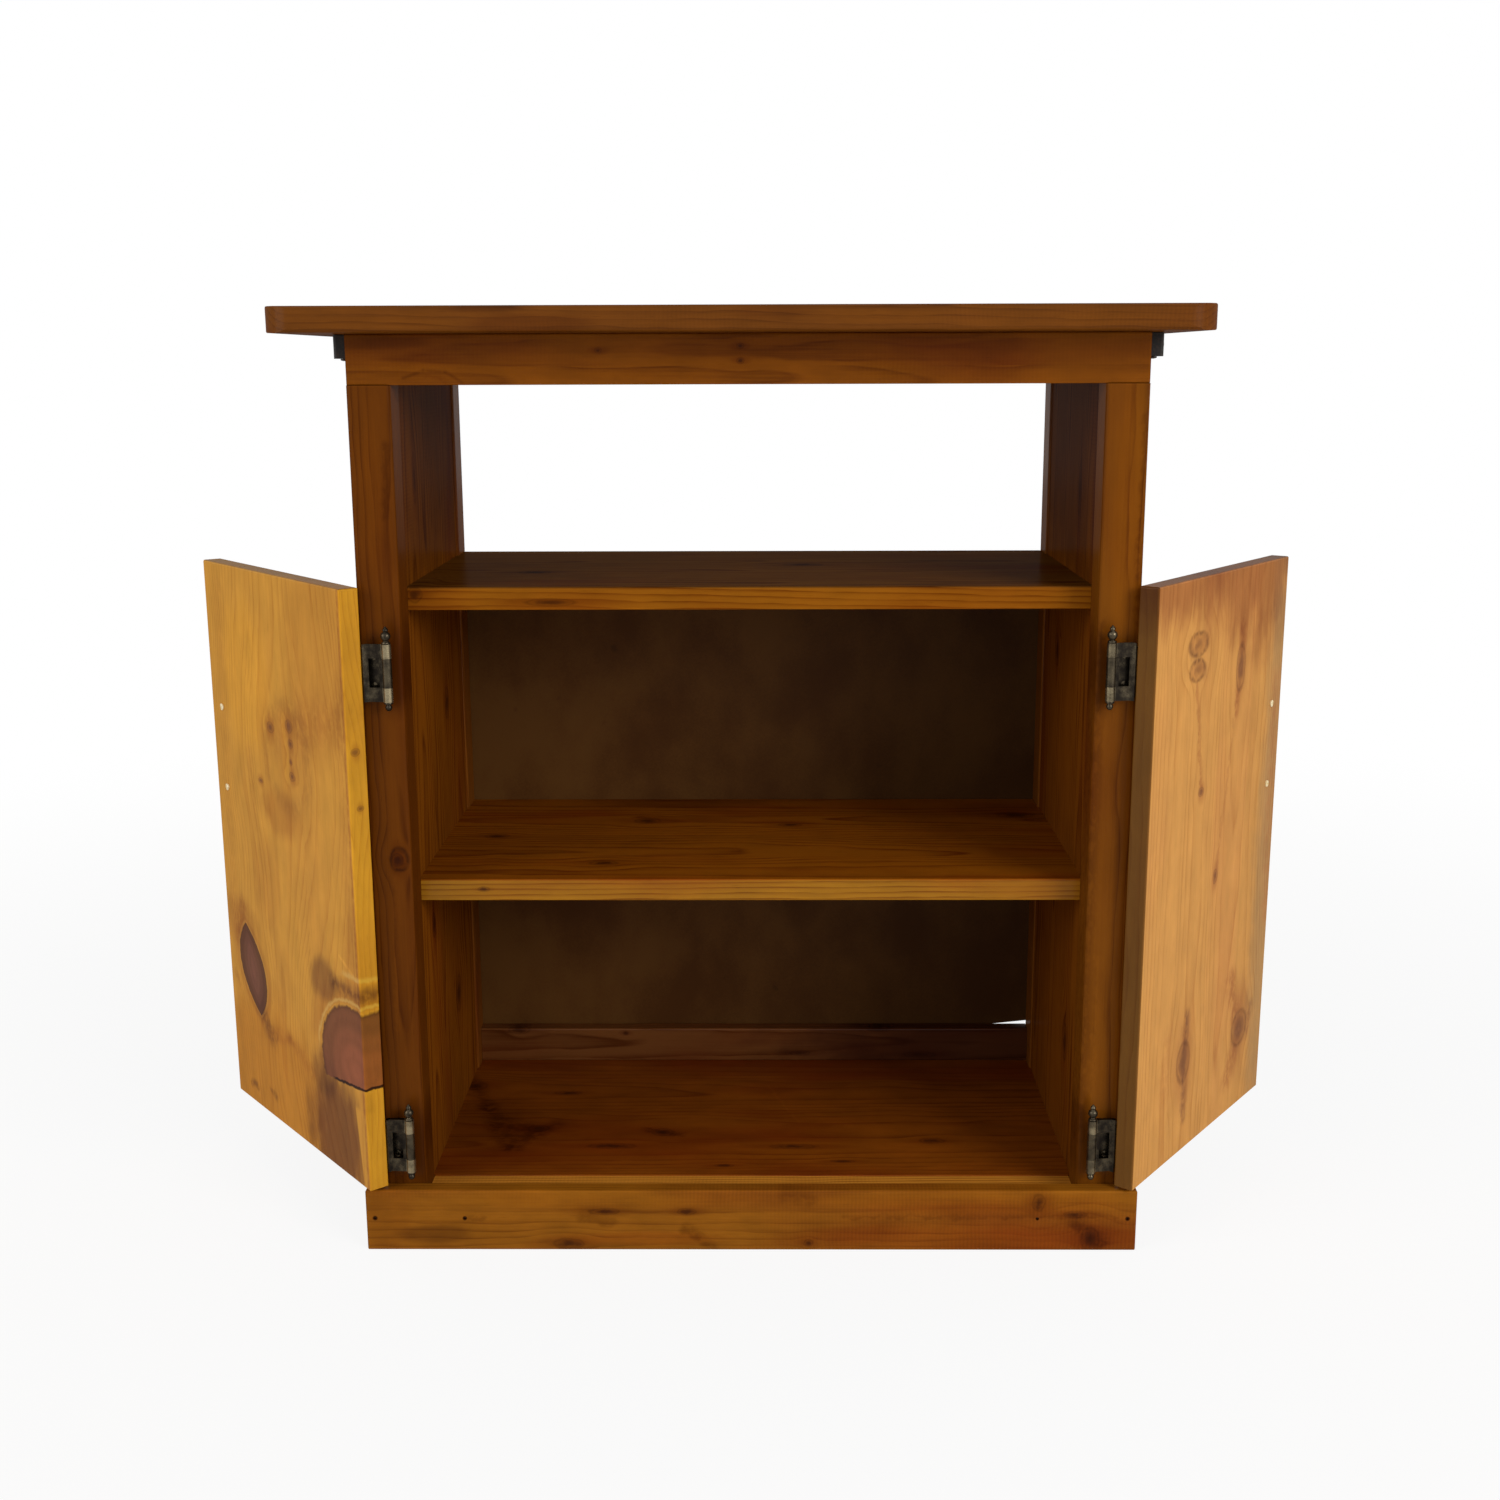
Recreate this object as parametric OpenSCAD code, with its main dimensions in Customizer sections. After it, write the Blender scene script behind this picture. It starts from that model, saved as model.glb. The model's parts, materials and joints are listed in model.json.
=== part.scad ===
// Rustic pine cabinet with an open upper bay, one inner shelf and two doors that swing right back.
// Origin on the floor, under the middle of the plinth's front board; the doors are drawn open, at rest.

/* [Top board] */
// Width of the top board
top_w = 914; // [880:1:1000]
// Depth of the top board, front to back
top_d = 480; // [472:1:520]
// Thickness of the top board
top_t = 25; // [18:0.5:34]
// How far the top board stands out in front of the posts
top_front = 70; // [62:1:80]
// How far the top board sits to the left of the frame's middle
top_shift = 6; // [0:1:12]
// Rounding of the top board's arrises
top_ease = 5; // [1:0.5:8]
// Rounding of the top board's corners, seen from above
top_corner = 30; // [10:1:50]

/* [Frame] */
// Width of the cabinet over its posts
cab_w = 800; // [760:1:840]
// Depth of the cabinet over its posts
cab_d = 390; // [370:1:400]
// Side of a square post
post = 44; // [40:0.5:50]
// Height of a post
post_h = 929; // [860:1:980]
// Rounding of a post's long arrises
post_ease = 4; // [2:0.5:6]
// Height of the apron boards under the top
apron_h = 50; // [40:1:70]
// Thickness of an apron board
apron_t = 22; // [18:0.5:26]
// How far the apron's faces lie inside the posts' faces
apron_inset = 1; // [0:0.5:4]
// Thickness of a side panel
panel_t = 22; // [16:0.5:26]
// How far a side panel's inner face lies behind the posts' inner faces
panel_inset = 2; // [0.5:0.5:4]
// Gap between a side panel's foot and the floor
panel_lift = 12; // [5:1:20]
// Radius of a dowel between post and apron
dowel_r = 4; // [3:0.5:6]
// How deep a dowel goes into each of its two boards
dowel_l = 22; // [15:1:35]

/* [Shelves] */
// Thickness of the shelves and the bottom board
shelf_t = 24; // [18:0.5:30]
// Height of the upper shelf's top face
upper_z = 722; // [680:1:760]
// Height of the inner shelf's top face
middle_z = 405; // [300:1:480]
// Height of the bottom board's top face
bottom_z = 57; // [40:1:66]
// How far the shelves' front edges lie behind the posts' faces
shelf_back = 40; // [36:0.5:43]
// How deep a shelf's end sits in its groove in the side panel
groove = 6; // [3:0.5:10]
// Rounding of the shelves' and rails' arrises
board_ease = 2; // [0.5:0.5:3]
// Height of the rear rail that stands on the bottom board
rear_rail_h = 44; // [30:1:70]
// Thickness of that rail
rear_rail_t = 20; // [15:0.5:26]

/* [Plinth] */
// Height of the plinth boards
plinth_h = 70.5; // [66:0.5:76]
// Thickness of the plinth boards
plinth_t = 20; // [14:0.5:24]
// Rounding of the plinth's arrises
plinth_ease = 3; // [1:0.5:5]

/* [Back panel] */
// Thickness of the thin back panel
back_t = 4; // [3:0.5:8]
// How far the back panel reaches over the rear posts
back_lap = 36; // [20:1:40]
// How far the back panel reaches down over the rear bottom rail
back_foot = 8; // [4:0.5:15]
// Gap under the back panel at its right end, where its lower corner is cut away
slit_h = 4; // [1:0.5:6]
// Length of the cut-away edge
slit_run = 110; // [60:5:200]
// How far the panel's top edge lies under the upper shelf's top face
back_drop = 6; // [3:0.5:10]

/* [Doors] */
// Thickness of a door
door_t = 22; // [18:0.5:24]
// Gap between a closed door and the shelves' front edges
stop_gap = 12; // [0.5:0.5:14]
// Gap between a closed door and its post
door_gap = 2.5; // [2:0.1:3.5]
// Gap between the two closed doors
meet_gap = 4; // [3.8:0.1:6]
// Gap between a door's foot and the plinth
door_lift = 3; // [2:0.5:5]
// How far a door's top stands above the upper shelf's top face
door_over = 7; // [0:0.5:10]
// How far the left door stands open at rest, in degrees from closed
open_left = 230.5; // [180:0.5:235]
// How far the right door stands open at rest
open_right = 233; // [180:0.5:235]
// Rounding of a door's arrises
door_ease = 2; // [0.5:0.5:2.5]
// How much the meeting edges are bevelled, so that both doors pass each other
edge_bevel = 2.4; // [2:0.1:4]
// How far from the inner face that bevel starts
bevel_run = 16; // [12:1:17]

/* [Hinges] */
// Radius of the hinge barrel
barrel_r = 5; // [4.4:0.1:5.4]
// Length of the barrel
barrel_l = 60; // [50:1:80]
// Length of the middle knuckle
knuckle_l = 30; // [20:1:36]
// Radius of the hinge pin
pin_r = 2.5; // [1.8:0.1:3]
// Radial clearance of the pin in its knuckles
pin_fit = 0.08; // [0.03:0.01:0.1]
// Gap between two knuckles
knuckle_gap = 0.3; // [0.2:0.05:0.6]
// Height of a leaf
leaf_h = 52; // [40:1:60]
// Width of the door leaf where it is screwed to the door
leaf_w = 24; // [18:0.5:28]
// Width of the post leaf
post_leaf_w = 20.5; // [16:0.5:21]
// Distance of the post leaf's plate from the pivot
plate_in = 6.5; // [5.8:0.1:8]
// Thickness of a leaf
leaf_t = 1.5; // [1:0.1:1.7]
// How far the pivot stands in front of the posts' faces
pivot_fwd = 14; // [9.6:0.1:16]
// How far the pivot lies outward from a post's inner face
pivot_out = 13; // [11:0.5:14]
// Height of the lower hinge's middle above the door's foot
hinge_up = 47; // [38:0.5:90]
// Depth of the upper hinge's middle below the door's top
hinge_down = 88; // [60:1:140]
// Radius of a finial's ball
finial_r = 5.2; // [4:0.1:6]
// Length of the neck under a finial's ball
finial_neck = 3; // [2:0.5:5]
// Length of a finial's tip above its ball
finial_tip = 5; // [2:0.5:8]
// Radius of the button under the barrel
button_r = 3.8; // [3:0.1:4.6]

/* [Handles] */
// Distance between a handle's two screws
handle_l = 96; // [64:1:128]
// Depth of a handle's middle below the door's top
handle_down = 217; // [120:1:330]
// Distance of a handle from its door's free edge
handle_in = 30; // [20:1:60]
// How far the grip's axis stands off the door
handle_off = 24; // [18:0.5:34]
// Radius of the grip
grip_r = 4.5; // [3.5:0.1:6]
// Radius of a handle foot's rosette
rosette_r = 9; // [7:0.5:12]

/* [Fasteners] */
// Radius of a wood screw's shank
screw_r = 1.8; // [1.2:0.1:2.2]
// Radius of a countersunk screw head
csk_r = 3.6; // [3:0.1:4.2]
// How deep the hinge screws go into the wood
screw_l = 14; // [8:0.5:16]
// Radius of a handle screw's shank
bolt_r = 2; // [1.5:0.1:2.4]
// Radius of a pan screw head
pan_r = 4; // [3.2:0.1:5]
// Height of a pan screw head
pan_h = 2.4; // [1.5:0.1:3]
// Radius of a nail
nail_r = 1.3; // [0.8:0.1:1.8]
// Length of a plinth nail
nail_l = 38; // [30:1:42]
// How deep the plinth nails' heads are sunk
nail_sink = 1.5; // [0.5:0.5:3]
// Height of the front nails above the bottom rail's underside
nail_up = 5; // [4:0.5:10]
// How much higher the nails in the plinth's sides sit
nail_stagger = 15; // [6:1:18]
// Clearance round a fastener or dowel in the wood
hole_fit = 0.05; // [0.02:0.01:0.2]
// Side of a corner block under the top
block_w = 20; // [16:0.5:24]
// Height of a corner block
block_h = 24; // [18:0.5:30]
// Distance of a corner block's middle from the apron's end
block_in = 43; // [30:1:80]
// Rounding of a corner block
block_ease = 4; // [1:0.5:6]

/* [Hidden] */
$fn = 48;

// Finish colours
top_colour = [0.52, 0.27, 0.08];
frame_colour = [0.60, 0.34, 0.11];
shelf_colour = [0.66, 0.38, 0.12];
door_colour = [0.74, 0.47, 0.17];
plinth_colour = [0.56, 0.31, 0.10];
back_colour = [0.38, 0.27, 0.16];
brass_colour = [0.42, 0.36, 0.24];
steel_colour = [0.70, 0.62, 0.42];
black_colour = [0.05, 0.05, 0.05];

// Planes of the frame; the origin lies that far in front of the posts
origin_in = 10;
front_y = origin_in;
rear_y = front_y + cab_d;
side_x = cab_w / 2;
inner_x = side_x - post;
top_z = post_h + apron_h;
panel_in_x = inner_x + panel_inset;
panel_out_x = panel_in_x + panel_t;
panel_front_y = front_y + post;
panel_rear_y = rear_y - post;
shelf_y = front_y + shelf_back;
bottom_y = front_y + post;

// A shelf's easy fit between the posts and in its grooves
shelf_fit = 0.2;
groove_fit = 0.1;

// The apron's box
apron_x = side_x - apron_inset;
apron_front_y = front_y + apron_inset;
apron_rear_y = rear_y - apron_inset;

// Small steps inside a hinge
leaf_screw_up = 11;
root_gap = 0.3;
crank_step = 0.5;
collar_h = 2;
collar_r = barrel_r - 0.4;

// A door seen from its pivot, closed: x runs to its free edge and y runs inward
pivot_x = inner_x + pivot_out;
pivot_y = front_y - pivot_fwd;
door_x0 = pivot_out + door_gap;
door_w = (2 * inner_x - 2 * door_gap - meet_gap) / 2;
door_y1 = shelf_back - stop_gap + pivot_fwd;
door_y0 = door_y1 - door_t;
door_z0 = plinth_h + door_lift;
door_h = upper_z + door_over - door_z0;
hinge_low_z = door_z0 + hinge_up;
hinge_high_z = door_z0 + door_h - hinge_down;
hinge_zs = [hinge_low_z, hinge_high_z];
leaf_screw_z = leaf_h / 2 - leaf_screw_up;
leaf_screw_in = leaf_w / 2 + 1;
plate_x0 = plate_in + post_leaf_w;
bore_r = pin_r + pin_fit;
leaf_x0 = pivot_out + (door_gap - leaf_t) / 2;
crank_x = leaf_x0 + leaf_t / 2;
crank_y = pivot_fwd + crank_step;

// Fastener lengths that follow the boards
foot_bore_l = 12;
thread_depth = 10;
block_screw_l = 14;
block_screw_off = block_w / 5;
tack_r = 0.8;
tack_head_r = 2;
tack_head_h = 0.8;
tack_l = 15;
tack_rows = 5;
tack_edge = 16;
tack_shelf_step = 220;
nail_z = bottom_z - shelf_t + nail_up;
side_nail_z = nail_z + nail_stagger;
handle_z = door_z0 + door_h - handle_down;

// Where the corner blocks' middles lie
block_x = apron_x + block_w / 2;
block_ys = [apron_front_y + block_in, apron_rear_y - block_in];

// Where the dowels stand
dowel_x = side_x - post / 2;
dowel_ys = [apron_front_y + apron_t / 2, apron_rear_y - apron_t / 2];

// Where the tacks of the back panel go
tack_z0 = bottom_z + rear_rail_h + slit_h + tack_edge;
tack_z1 = upper_z - back_drop - tack_edge;
tack_post_x = inner_x + back_lap / 2;
tack_post_zs = [for (i = [0 : tack_rows - 1]) tack_z0 + i * (tack_z1 - tack_z0) / (tack_rows - 1)];
tack_shelf_xs = [-tack_shelf_step, 0, tack_shelf_step];
tack_shelf_zs = [middle_z - shelf_t / 2, upper_z - shelf_t / 2];

// Rectangle with its corner at the origin and rounded corners
module round_rect(w, h, r) {
    translate([r, 0]) square([w - 2 * r, h]);
    translate([0, r]) square([w, h - 2 * r]);
    for (x = [r, w - r], y = [r, h - r])
        translate([x, y]) circle(r);
}

// Board along X, Y or Z with its long arrises eased
module board_x(size, r) {
    rotate([90, 0, 90]) linear_extrude(size[0]) round_rect(size[1], size[2], r);
}

module board_y(size, r) {
    translate([0, size[1], 0]) rotate([90, 0, 0]) linear_extrude(size[1]) round_rect(size[0], size[2], r);
}

module board_z(size, r) {
    linear_extrude(size[2]) round_rect(size[0], size[1], r);
}

// Slab with every arris eased; its corners in plan have their own radius
module slab(size, r, corner_r) {
    intersection() {
        board_z(size, corner_r);
        board_x(size, r);
        board_y(size, r);
    }
}

// The right-hand twin of a left-hand piece
module right_hand() {
    mirror([1, 0, 0]) children();
}

// Countersunk wood screw along -Z, its head's face at the origin
module csk_screw(l) {
    sink = csk_r - screw_r;
    translate([0, 0, -sink]) cylinder(h = sink, r1 = screw_r, r2 = csk_r);
    translate([0, 0, -l - leaf_t]) cylinder(h = l + leaf_t - sink, r = screw_r);
}

module csk_hole(l) {
    sink = csk_r - screw_r;
    hole_r = screw_r + hole_fit;
    translate([0, 0, -sink]) cylinder(h = sink + 0.01, r1 = hole_r, r2 = csk_r + hole_fit);
    translate([0, 0, -l - leaf_t - hole_fit]) cylinder(h = l + leaf_t, r = hole_r);
}

// Top

module top_board() {
    color(top_colour)
    difference() {
        translate([-top_w / 2 - top_shift, front_y - top_front, top_z])
            slab([top_w, top_d, top_t], top_ease, top_corner);
        for (s = [-1, 1], y = block_ys)
            translate([s * block_x, y - block_screw_off, top_z - 1])
                cylinder(h = block_screw_l + 1, r = bolt_r + hole_fit);
    }
}

module corner_blocks() {
    color(black_colour)
    for (s = [0, 1], y = block_ys)
        mirror([s, 0, 0]) translate([apron_x, y - block_w / 2, top_z - block_h])
            difference() {
                slab([block_w, block_w, block_h], block_ease / 4, block_ease);
                translate([block_w / 2, block_w / 2 - block_screw_off, -1])
                    cylinder(h = block_h + 2, r = bolt_r + hole_fit);
                translate([-1, block_w / 2 + block_screw_off, block_h / 2])
                    rotate([0, 90, 0]) cylinder(h = block_w + 2, r = bolt_r + hole_fit);
            }
}

module corner_block_screws() {
    color(steel_colour)
    for (s = [0, 1], y = block_ys)
        mirror([s, 0, 0]) {
            translate([block_x, y - block_screw_off, top_z - block_h]) {
                translate([0, 0, -pan_h]) cylinder(h = pan_h, r = pan_r);
                cylinder(h = block_h + block_screw_l - 1, r = bolt_r);
            }
            translate([apron_x + block_w, y + block_screw_off, top_z - block_h / 2]) {
                rotate([0, 90, 0]) cylinder(h = pan_h, r = pan_r);
                rotate([0, -90, 0]) cylinder(h = block_w + block_screw_l - 1, r = bolt_r);
            }
        }
}

// Apron

module apron_long(y) {
    color(frame_colour)
    difference() {
        translate([-apron_x, y - apron_t / 2, post_h]) board_x([2 * apron_x, apron_t, apron_h], board_ease);
        for (s = [-1, 1])
            translate([s * dowel_x, y, post_h - 1]) cylinder(h = dowel_l + 1, r = dowel_r + hole_fit);
    }
}

module apron_front() { apron_long(dowel_ys[0]); }

module apron_back() { apron_long(dowel_ys[1]); }

module apron_side() {
    y0 = apron_front_y + apron_t;
    color(frame_colour)
    difference() {
        translate([-apron_x, y0, post_h]) board_y([apron_t, apron_rear_y - apron_t - y0, apron_h], board_ease);
        for (y = block_ys)
            translate([-apron_x - 1, y + block_screw_off, top_z - block_h / 2])
                rotate([0, 90, 0]) cylinder(h = block_screw_l + 1, r = bolt_r + hole_fit);
    }
}

module apron_left() { apron_side(); }

module apron_right() { right_hand() apron_side(); }

module apron_dowels() {
    color(shelf_colour)
    for (s = [-1, 1], y = dowel_ys)
        translate([s * dowel_x, y, post_h - dowel_l + 1]) cylinder(h = 2 * dowel_l - 2, r = dowel_r);
}

// Posts

module post_stick(y, dowel_y) {
    difference() {
        translate([-side_x, y, 0]) board_z([post, post, post_h], post_ease);
        translate([-dowel_x, dowel_y, post_h - dowel_l]) cylinder(h = dowel_l + 1, r = dowel_r + hole_fit);
        plinth_side_nail_holes();
    }
}

module post_front() {
    color(frame_colour)
    difference() {
        post_stick(front_y, dowel_ys[0]);
        for (z = hinge_zs)
            at_post_leaf(z) post_leaf_screw_places() csk_hole(screw_l);
    }
}

module post_rear() {
    color(frame_colour)
    difference() {
        post_stick(rear_y - post, dowel_ys[1]);
        for (z = tack_post_zs)
            at_tack(-tack_post_x, z) tack_hole();
    }
}

module post_front_left() { post_front(); }

module post_front_right() { right_hand() post_front(); }

module post_rear_left() { post_rear(); }

module post_rear_right() { right_hand() post_rear(); }

// Sides

module side_panel() {
    y0 = panel_front_y;
    color(frame_colour)
    difference() {
        translate([-panel_out_x, y0, panel_lift]) cube([panel_t, panel_rear_y - y0, post_h - panel_lift]);
        for (z = [upper_z, middle_z, bottom_z])
            translate([-panel_in_x - groove - groove_fit, y0 - 1, z - shelf_t - groove_fit])
                cube([groove + groove_fit + 1, panel_rear_y - y0 + 2, shelf_t + 2 * groove_fit]);
    }
}

module side_panel_left() { side_panel(); }

module side_panel_right() { right_hand() side_panel(); }

module side_rail() {
    color(plinth_colour)
    translate([-side_x, panel_front_y, 0]) cube([side_x - panel_out_x, panel_rear_y - panel_front_y, plinth_h]);
}

module side_rail_left() { side_rail(); }

module side_rail_right() { right_hand() side_rail(); }

// Shelves

// Shelf between the posts, with ends that sit in the side panels' grooves
module shelf(z, y0, y1) {
    body_x = inner_x - shelf_fit;
    end_x = panel_in_x + groove;
    end_y0 = max(y0, panel_front_y + shelf_fit);
    color(shelf_colour)
    translate([0, 0, z - shelf_t]) {
        translate([-body_x, y0, 0]) board_x([2 * body_x, y1 - y0, shelf_t], board_ease);
        translate([-end_x, end_y0 + board_ease, 0])
            cube([2 * end_x, panel_rear_y - shelf_fit - board_ease - end_y0, shelf_t]);
    }
}

module shelf_upper() {
    difference() {
        shelf(upper_z, shelf_y, rear_y);
        for (x = tack_shelf_xs)
            at_tack(x, tack_shelf_zs[1]) tack_hole();
    }
}

module shelf_middle() {
    difference() {
        shelf(middle_z, shelf_y, rear_y);
        for (x = tack_shelf_xs)
            at_tack(x, tack_shelf_zs[0]) tack_hole();
    }
}

module bottom_board() {
    shelf(bottom_z, bottom_y, rear_y);
}

module bottom_front_rail() {
    body_x = inner_x - shelf_fit;
    color(plinth_colour)
    difference() {
        translate([-body_x, front_y, bottom_z - shelf_t]) board_x([2 * body_x, post, shelf_t], board_ease);
        plinth_front_nail_holes();
    }
}

module rear_bottom_rail() {
    body_x = inner_x - shelf_fit;
    color(shelf_colour)
    translate([-body_x, rear_y - rear_rail_t, bottom_z]) board_x([2 * body_x, rear_rail_t, rear_rail_h], board_ease);
}

// Back

module at_tack(x, z) {
    translate([x, rear_y + back_t, z]) rotate([-90, 0, 0]) children();
}

module tack_hole() {
    translate([0, 0, -tack_l - hole_fit]) cylinder(h = tack_l + 1, r = tack_r + hole_fit);
}

module tack() {
    cylinder(h = tack_head_h, r = tack_head_r);
    translate([0, 0, -tack_l]) cylinder(h = tack_l, r = tack_r);
}

module tack_places() {
    for (s = [-1, 1], z = tack_post_zs)
        at_tack(s * tack_post_x, z) children();
    for (x = tack_shelf_xs, z = tack_shelf_zs)
        at_tack(x, z) children();
}

module back_panel() {
    x = inner_x + back_lap;
    z0 = bottom_z + rear_rail_h;
    z1 = upper_z - back_drop;
    color(back_colour)
    difference() {
        translate([0, rear_y + back_t, 0]) rotate([90, 0, 0]) linear_extrude(back_t)
            polygon([[-x, z0 - back_foot], [inner_x - slit_run, z0 - back_foot],
                [inner_x, z0 + slit_h], [x, z0 + slit_h], [x, z1], [-x, z1]]);
        tack_places() tack_hole();
    }
}

module back_panel_nails() {
    color(steel_colour)
    tack_places() tack();
}

// Plinth

// A nail along +Z, with its head at the origin
module nail_hole() {
    translate([0, 0, -1]) cylinder(h = nail_sink + nail_l + 1 + hole_fit, r = nail_r + hole_fit);
}

module plinth_nail() {
    translate([0, 0, nail_sink]) cylinder(h = nail_l, r = nail_r);
}

module plinth_front_nail_places() {
    for (x = [side_x + plinth_t / 2, inner_x - post], s = [-1, 1])
        translate([s * x, front_y - plinth_t, nail_z]) rotate([-90, 0, 0]) children();
}

module plinth_side_nail_places() {
    for (y = [front_y + post / 2, rear_y - post / 2])
        translate([-side_x - plinth_t, y, side_nail_z]) rotate([0, 90, 0]) children();
}

module plinth_front_nail_holes() { plinth_front_nail_places() nail_hole(); }

module plinth_side_nail_holes() { plinth_side_nail_places() nail_hole(); }

module plinth_front() {
    x = side_x + plinth_t;
    color(plinth_colour)
    difference() {
        translate([-x, front_y - plinth_t, 0]) slab([2 * x, plinth_t, plinth_h], plinth_ease, plinth_ease);
        plinth_front_nail_holes();
    }
}

module plinth_side() {
    color(plinth_colour)
    difference() {
        translate([-side_x - plinth_t, front_y, 0]) board_y([plinth_t, cab_d, plinth_h], plinth_ease);
        plinth_front_nail_holes();
        plinth_side_nail_holes();
    }
}

module plinth_left() { plinth_side(); }

module plinth_right() { right_hand() plinth_side(); }

module plinth_nails() {
    color(steel_colour) {
        plinth_front_nail_places() plinth_nail();
        plinth_side_nail_places() plinth_nail();
        right_hand() plinth_side_nail_places() plinth_nail();
    }
}

// Hinges, drawn for the left door; their pieces are placed from the pivot

module at_pivot(z) {
    translate([-pivot_x, pivot_y, z]) children();
}

// The door's own frame, swung open round the pivot
module at_door(open) {
    at_pivot(0) rotate([0, 0, -open]) children();
}

// Outside face of the leaf that is screwed to the post, looking along its screws
module at_post_leaf(z) {
    at_pivot(z) translate([0, pivot_fwd - leaf_t, 0]) children();
}

module post_leaf_screw_places() {
    x = plate_in + post_leaf_w / 2;
    for (s = [-1, 1])
        translate([-x, 0, s * leaf_screw_z]) rotate([90, 0, 0]) children();
}

// Ring of the barrel between two heights
module knuckle(z0, z1) {
    translate([0, 0, z0])
        difference() {
            cylinder(h = z1 - z0, r = barrel_r);
            translate([0, 0, -1]) cylinder(h = z1 - z0 + 2, r = bore_r);
        }
}

module post_leaf(z) {
    half = knuckle_l / 2 - knuckle_gap / 2;
    color(brass_colour)
    difference() {
        union() {
            at_pivot(z) knuckle(-half, half);
            at_pivot(z) translate([-plate_in - leaf_t, 0, -half])
                cube([plate_in + leaf_t - bore_r - root_gap, pivot_fwd, 2 * half]);
            at_pivot(z) translate([-plate_x0, pivot_fwd - leaf_t, -leaf_h / 2])
                cube([post_leaf_w, leaf_t, leaf_h]);
        }
        at_post_leaf(z) post_leaf_screw_places() csk_hole(screw_l);
    }
}

module post_leaf_upper_left() { post_leaf(hinge_high_z); }

module post_leaf_lower_left() { post_leaf(hinge_low_z); }

module post_leaf_upper_right() { right_hand() post_leaf(hinge_high_z); }

module post_leaf_lower_right() { right_hand() post_leaf(hinge_low_z); }

module post_leaf_screws() {
    color(brass_colour)
    for (z = hinge_zs)
        at_post_leaf(z) post_leaf_screw_places() csk_screw(screw_l);
}

module post_leaf_screws_left() { post_leaf_screws(); }

module post_leaf_screws_right() { right_hand() post_leaf_screws(); }

// Pin with a ball finial above the barrel and a button below it
module hinge_pin(z) {
    top = barrel_l / 2;
    ball_z = top + finial_neck + finial_r;
    tip_root = finial_r * 0.6;
    tip_root_z = ball_z + finial_r * 0.75;
    color(brass_colour)
    at_pivot(z) {
        translate([0, 0, -top - finial_neck - 1]) cylinder(h = barrel_l + 2 * finial_neck + 2, r = pin_r);
        translate([0, 0, top + knuckle_gap]) cylinder(h = collar_h, r = collar_r);
        translate([0, 0, ball_z]) sphere(finial_r);
        translate([0, 0, tip_root_z])
            cylinder(h = finial_tip + finial_r * 0.25, r1 = tip_root, r2 = tip_root / 4);
        translate([0, 0, -top - knuckle_gap - collar_h]) cylinder(h = collar_h, r = collar_r);
        translate([0, 0, -top - finial_neck - button_r + 1]) sphere(button_r);
    }
}

module hinge_pin_upper_left() { hinge_pin(hinge_high_z); }

module hinge_pin_lower_left() { hinge_pin(hinge_low_z); }

module hinge_pin_upper_right() { right_hand() hinge_pin(hinge_high_z); }

module hinge_pin_lower_right() { right_hand() hinge_pin(hinge_low_z); }

module door_leaf_screw_places() {
    x = door_x0 + leaf_screw_in;
    for (s = [-1, 1])
        translate([x, door_y0 - leaf_t, s * leaf_screw_z]) rotate([90, 0, 0]) children();
}

// Leaf that slants from the barrel round the post's arris, runs back beside the post and is screwed
// to the door's outer face
module door_leaf(z, open) {
    low = -barrel_l / 2;
    half = knuckle_l / 2 + knuckle_gap / 2;
    root = bore_r + root_gap;
    color(brass_colour)
    at_door(open) translate([0, 0, z])
        difference() {
            union() {
                knuckle(low, -half);
                knuckle(half, -low);
                for (z0 = [low, half])
                    rotate([0, 0, atan2(crank_y, crank_x)]) translate([root, -leaf_t / 2, z0])
                        cube([norm([crank_x, crank_y]) - root, leaf_t, -low - half]);
                translate([leaf_x0, crank_y - leaf_t / 2, low])
                    cube([leaf_t, door_y0 + leaf_t / 2 - crank_y, barrel_l]);
                translate([leaf_x0, door_y0 - leaf_t, -leaf_h / 2])
                    cube([door_x0 + leaf_w - leaf_x0, leaf_t, leaf_h]);
            }
            door_leaf_screw_places() csk_hole(screw_l);
        }
}

module door_leaf_upper_left() { door_leaf(hinge_high_z, open_left); }

module door_leaf_lower_left() { door_leaf(hinge_low_z, open_left); }

module door_leaf_upper_right() { right_hand() door_leaf(hinge_high_z, open_right); }

module door_leaf_lower_right() { right_hand() door_leaf(hinge_low_z, open_right); }

module door_leaf_screws(open) {
    color(brass_colour)
    at_door(open)
        for (z = hinge_zs)
            translate([0, 0, z]) door_leaf_screw_places() csk_screw(screw_l);
}

module door_leaf_screws_left() { door_leaf_screws(open_left); }

module door_leaf_screws_right() { right_hand() door_leaf_screws(open_right); }

// Doors

// A handle screw's axis, from the door's inner face outward
module handle_screw_places() {
    x = door_x0 + door_w - handle_in;
    for (s = [-1, 1])
        translate([x, door_y1, handle_z + s * handle_l / 2]) rotate([90, 0, 0]) children();
}

// Wedge that bevels a door's free edge toward its inner face
module door_edge_bevel() {
    slope = edge_bevel / bevel_run;
    translate([door_x0 + door_w, door_y1, door_z0 - 1]) linear_extrude(door_h + 2)
        polygon([[slope, -bevel_run - 1], [2, -bevel_run - 1], [2, 2], [-edge_bevel - 2 * slope, 2]]);
}

module door(open) {
    color(door_colour)
    at_door(open)
        difference() {
            translate([door_x0, door_y0, door_z0]) slab([door_w, door_t, door_h], door_ease, door_ease);
            door_edge_bevel();
            for (z = hinge_zs)
                translate([0, 0, z]) door_leaf_screw_places() csk_hole(screw_l);
            handle_screw_places()
                translate([0, 0, -1]) cylinder(h = door_t + 2, r = bolt_r + hole_fit);
        }
}

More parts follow.
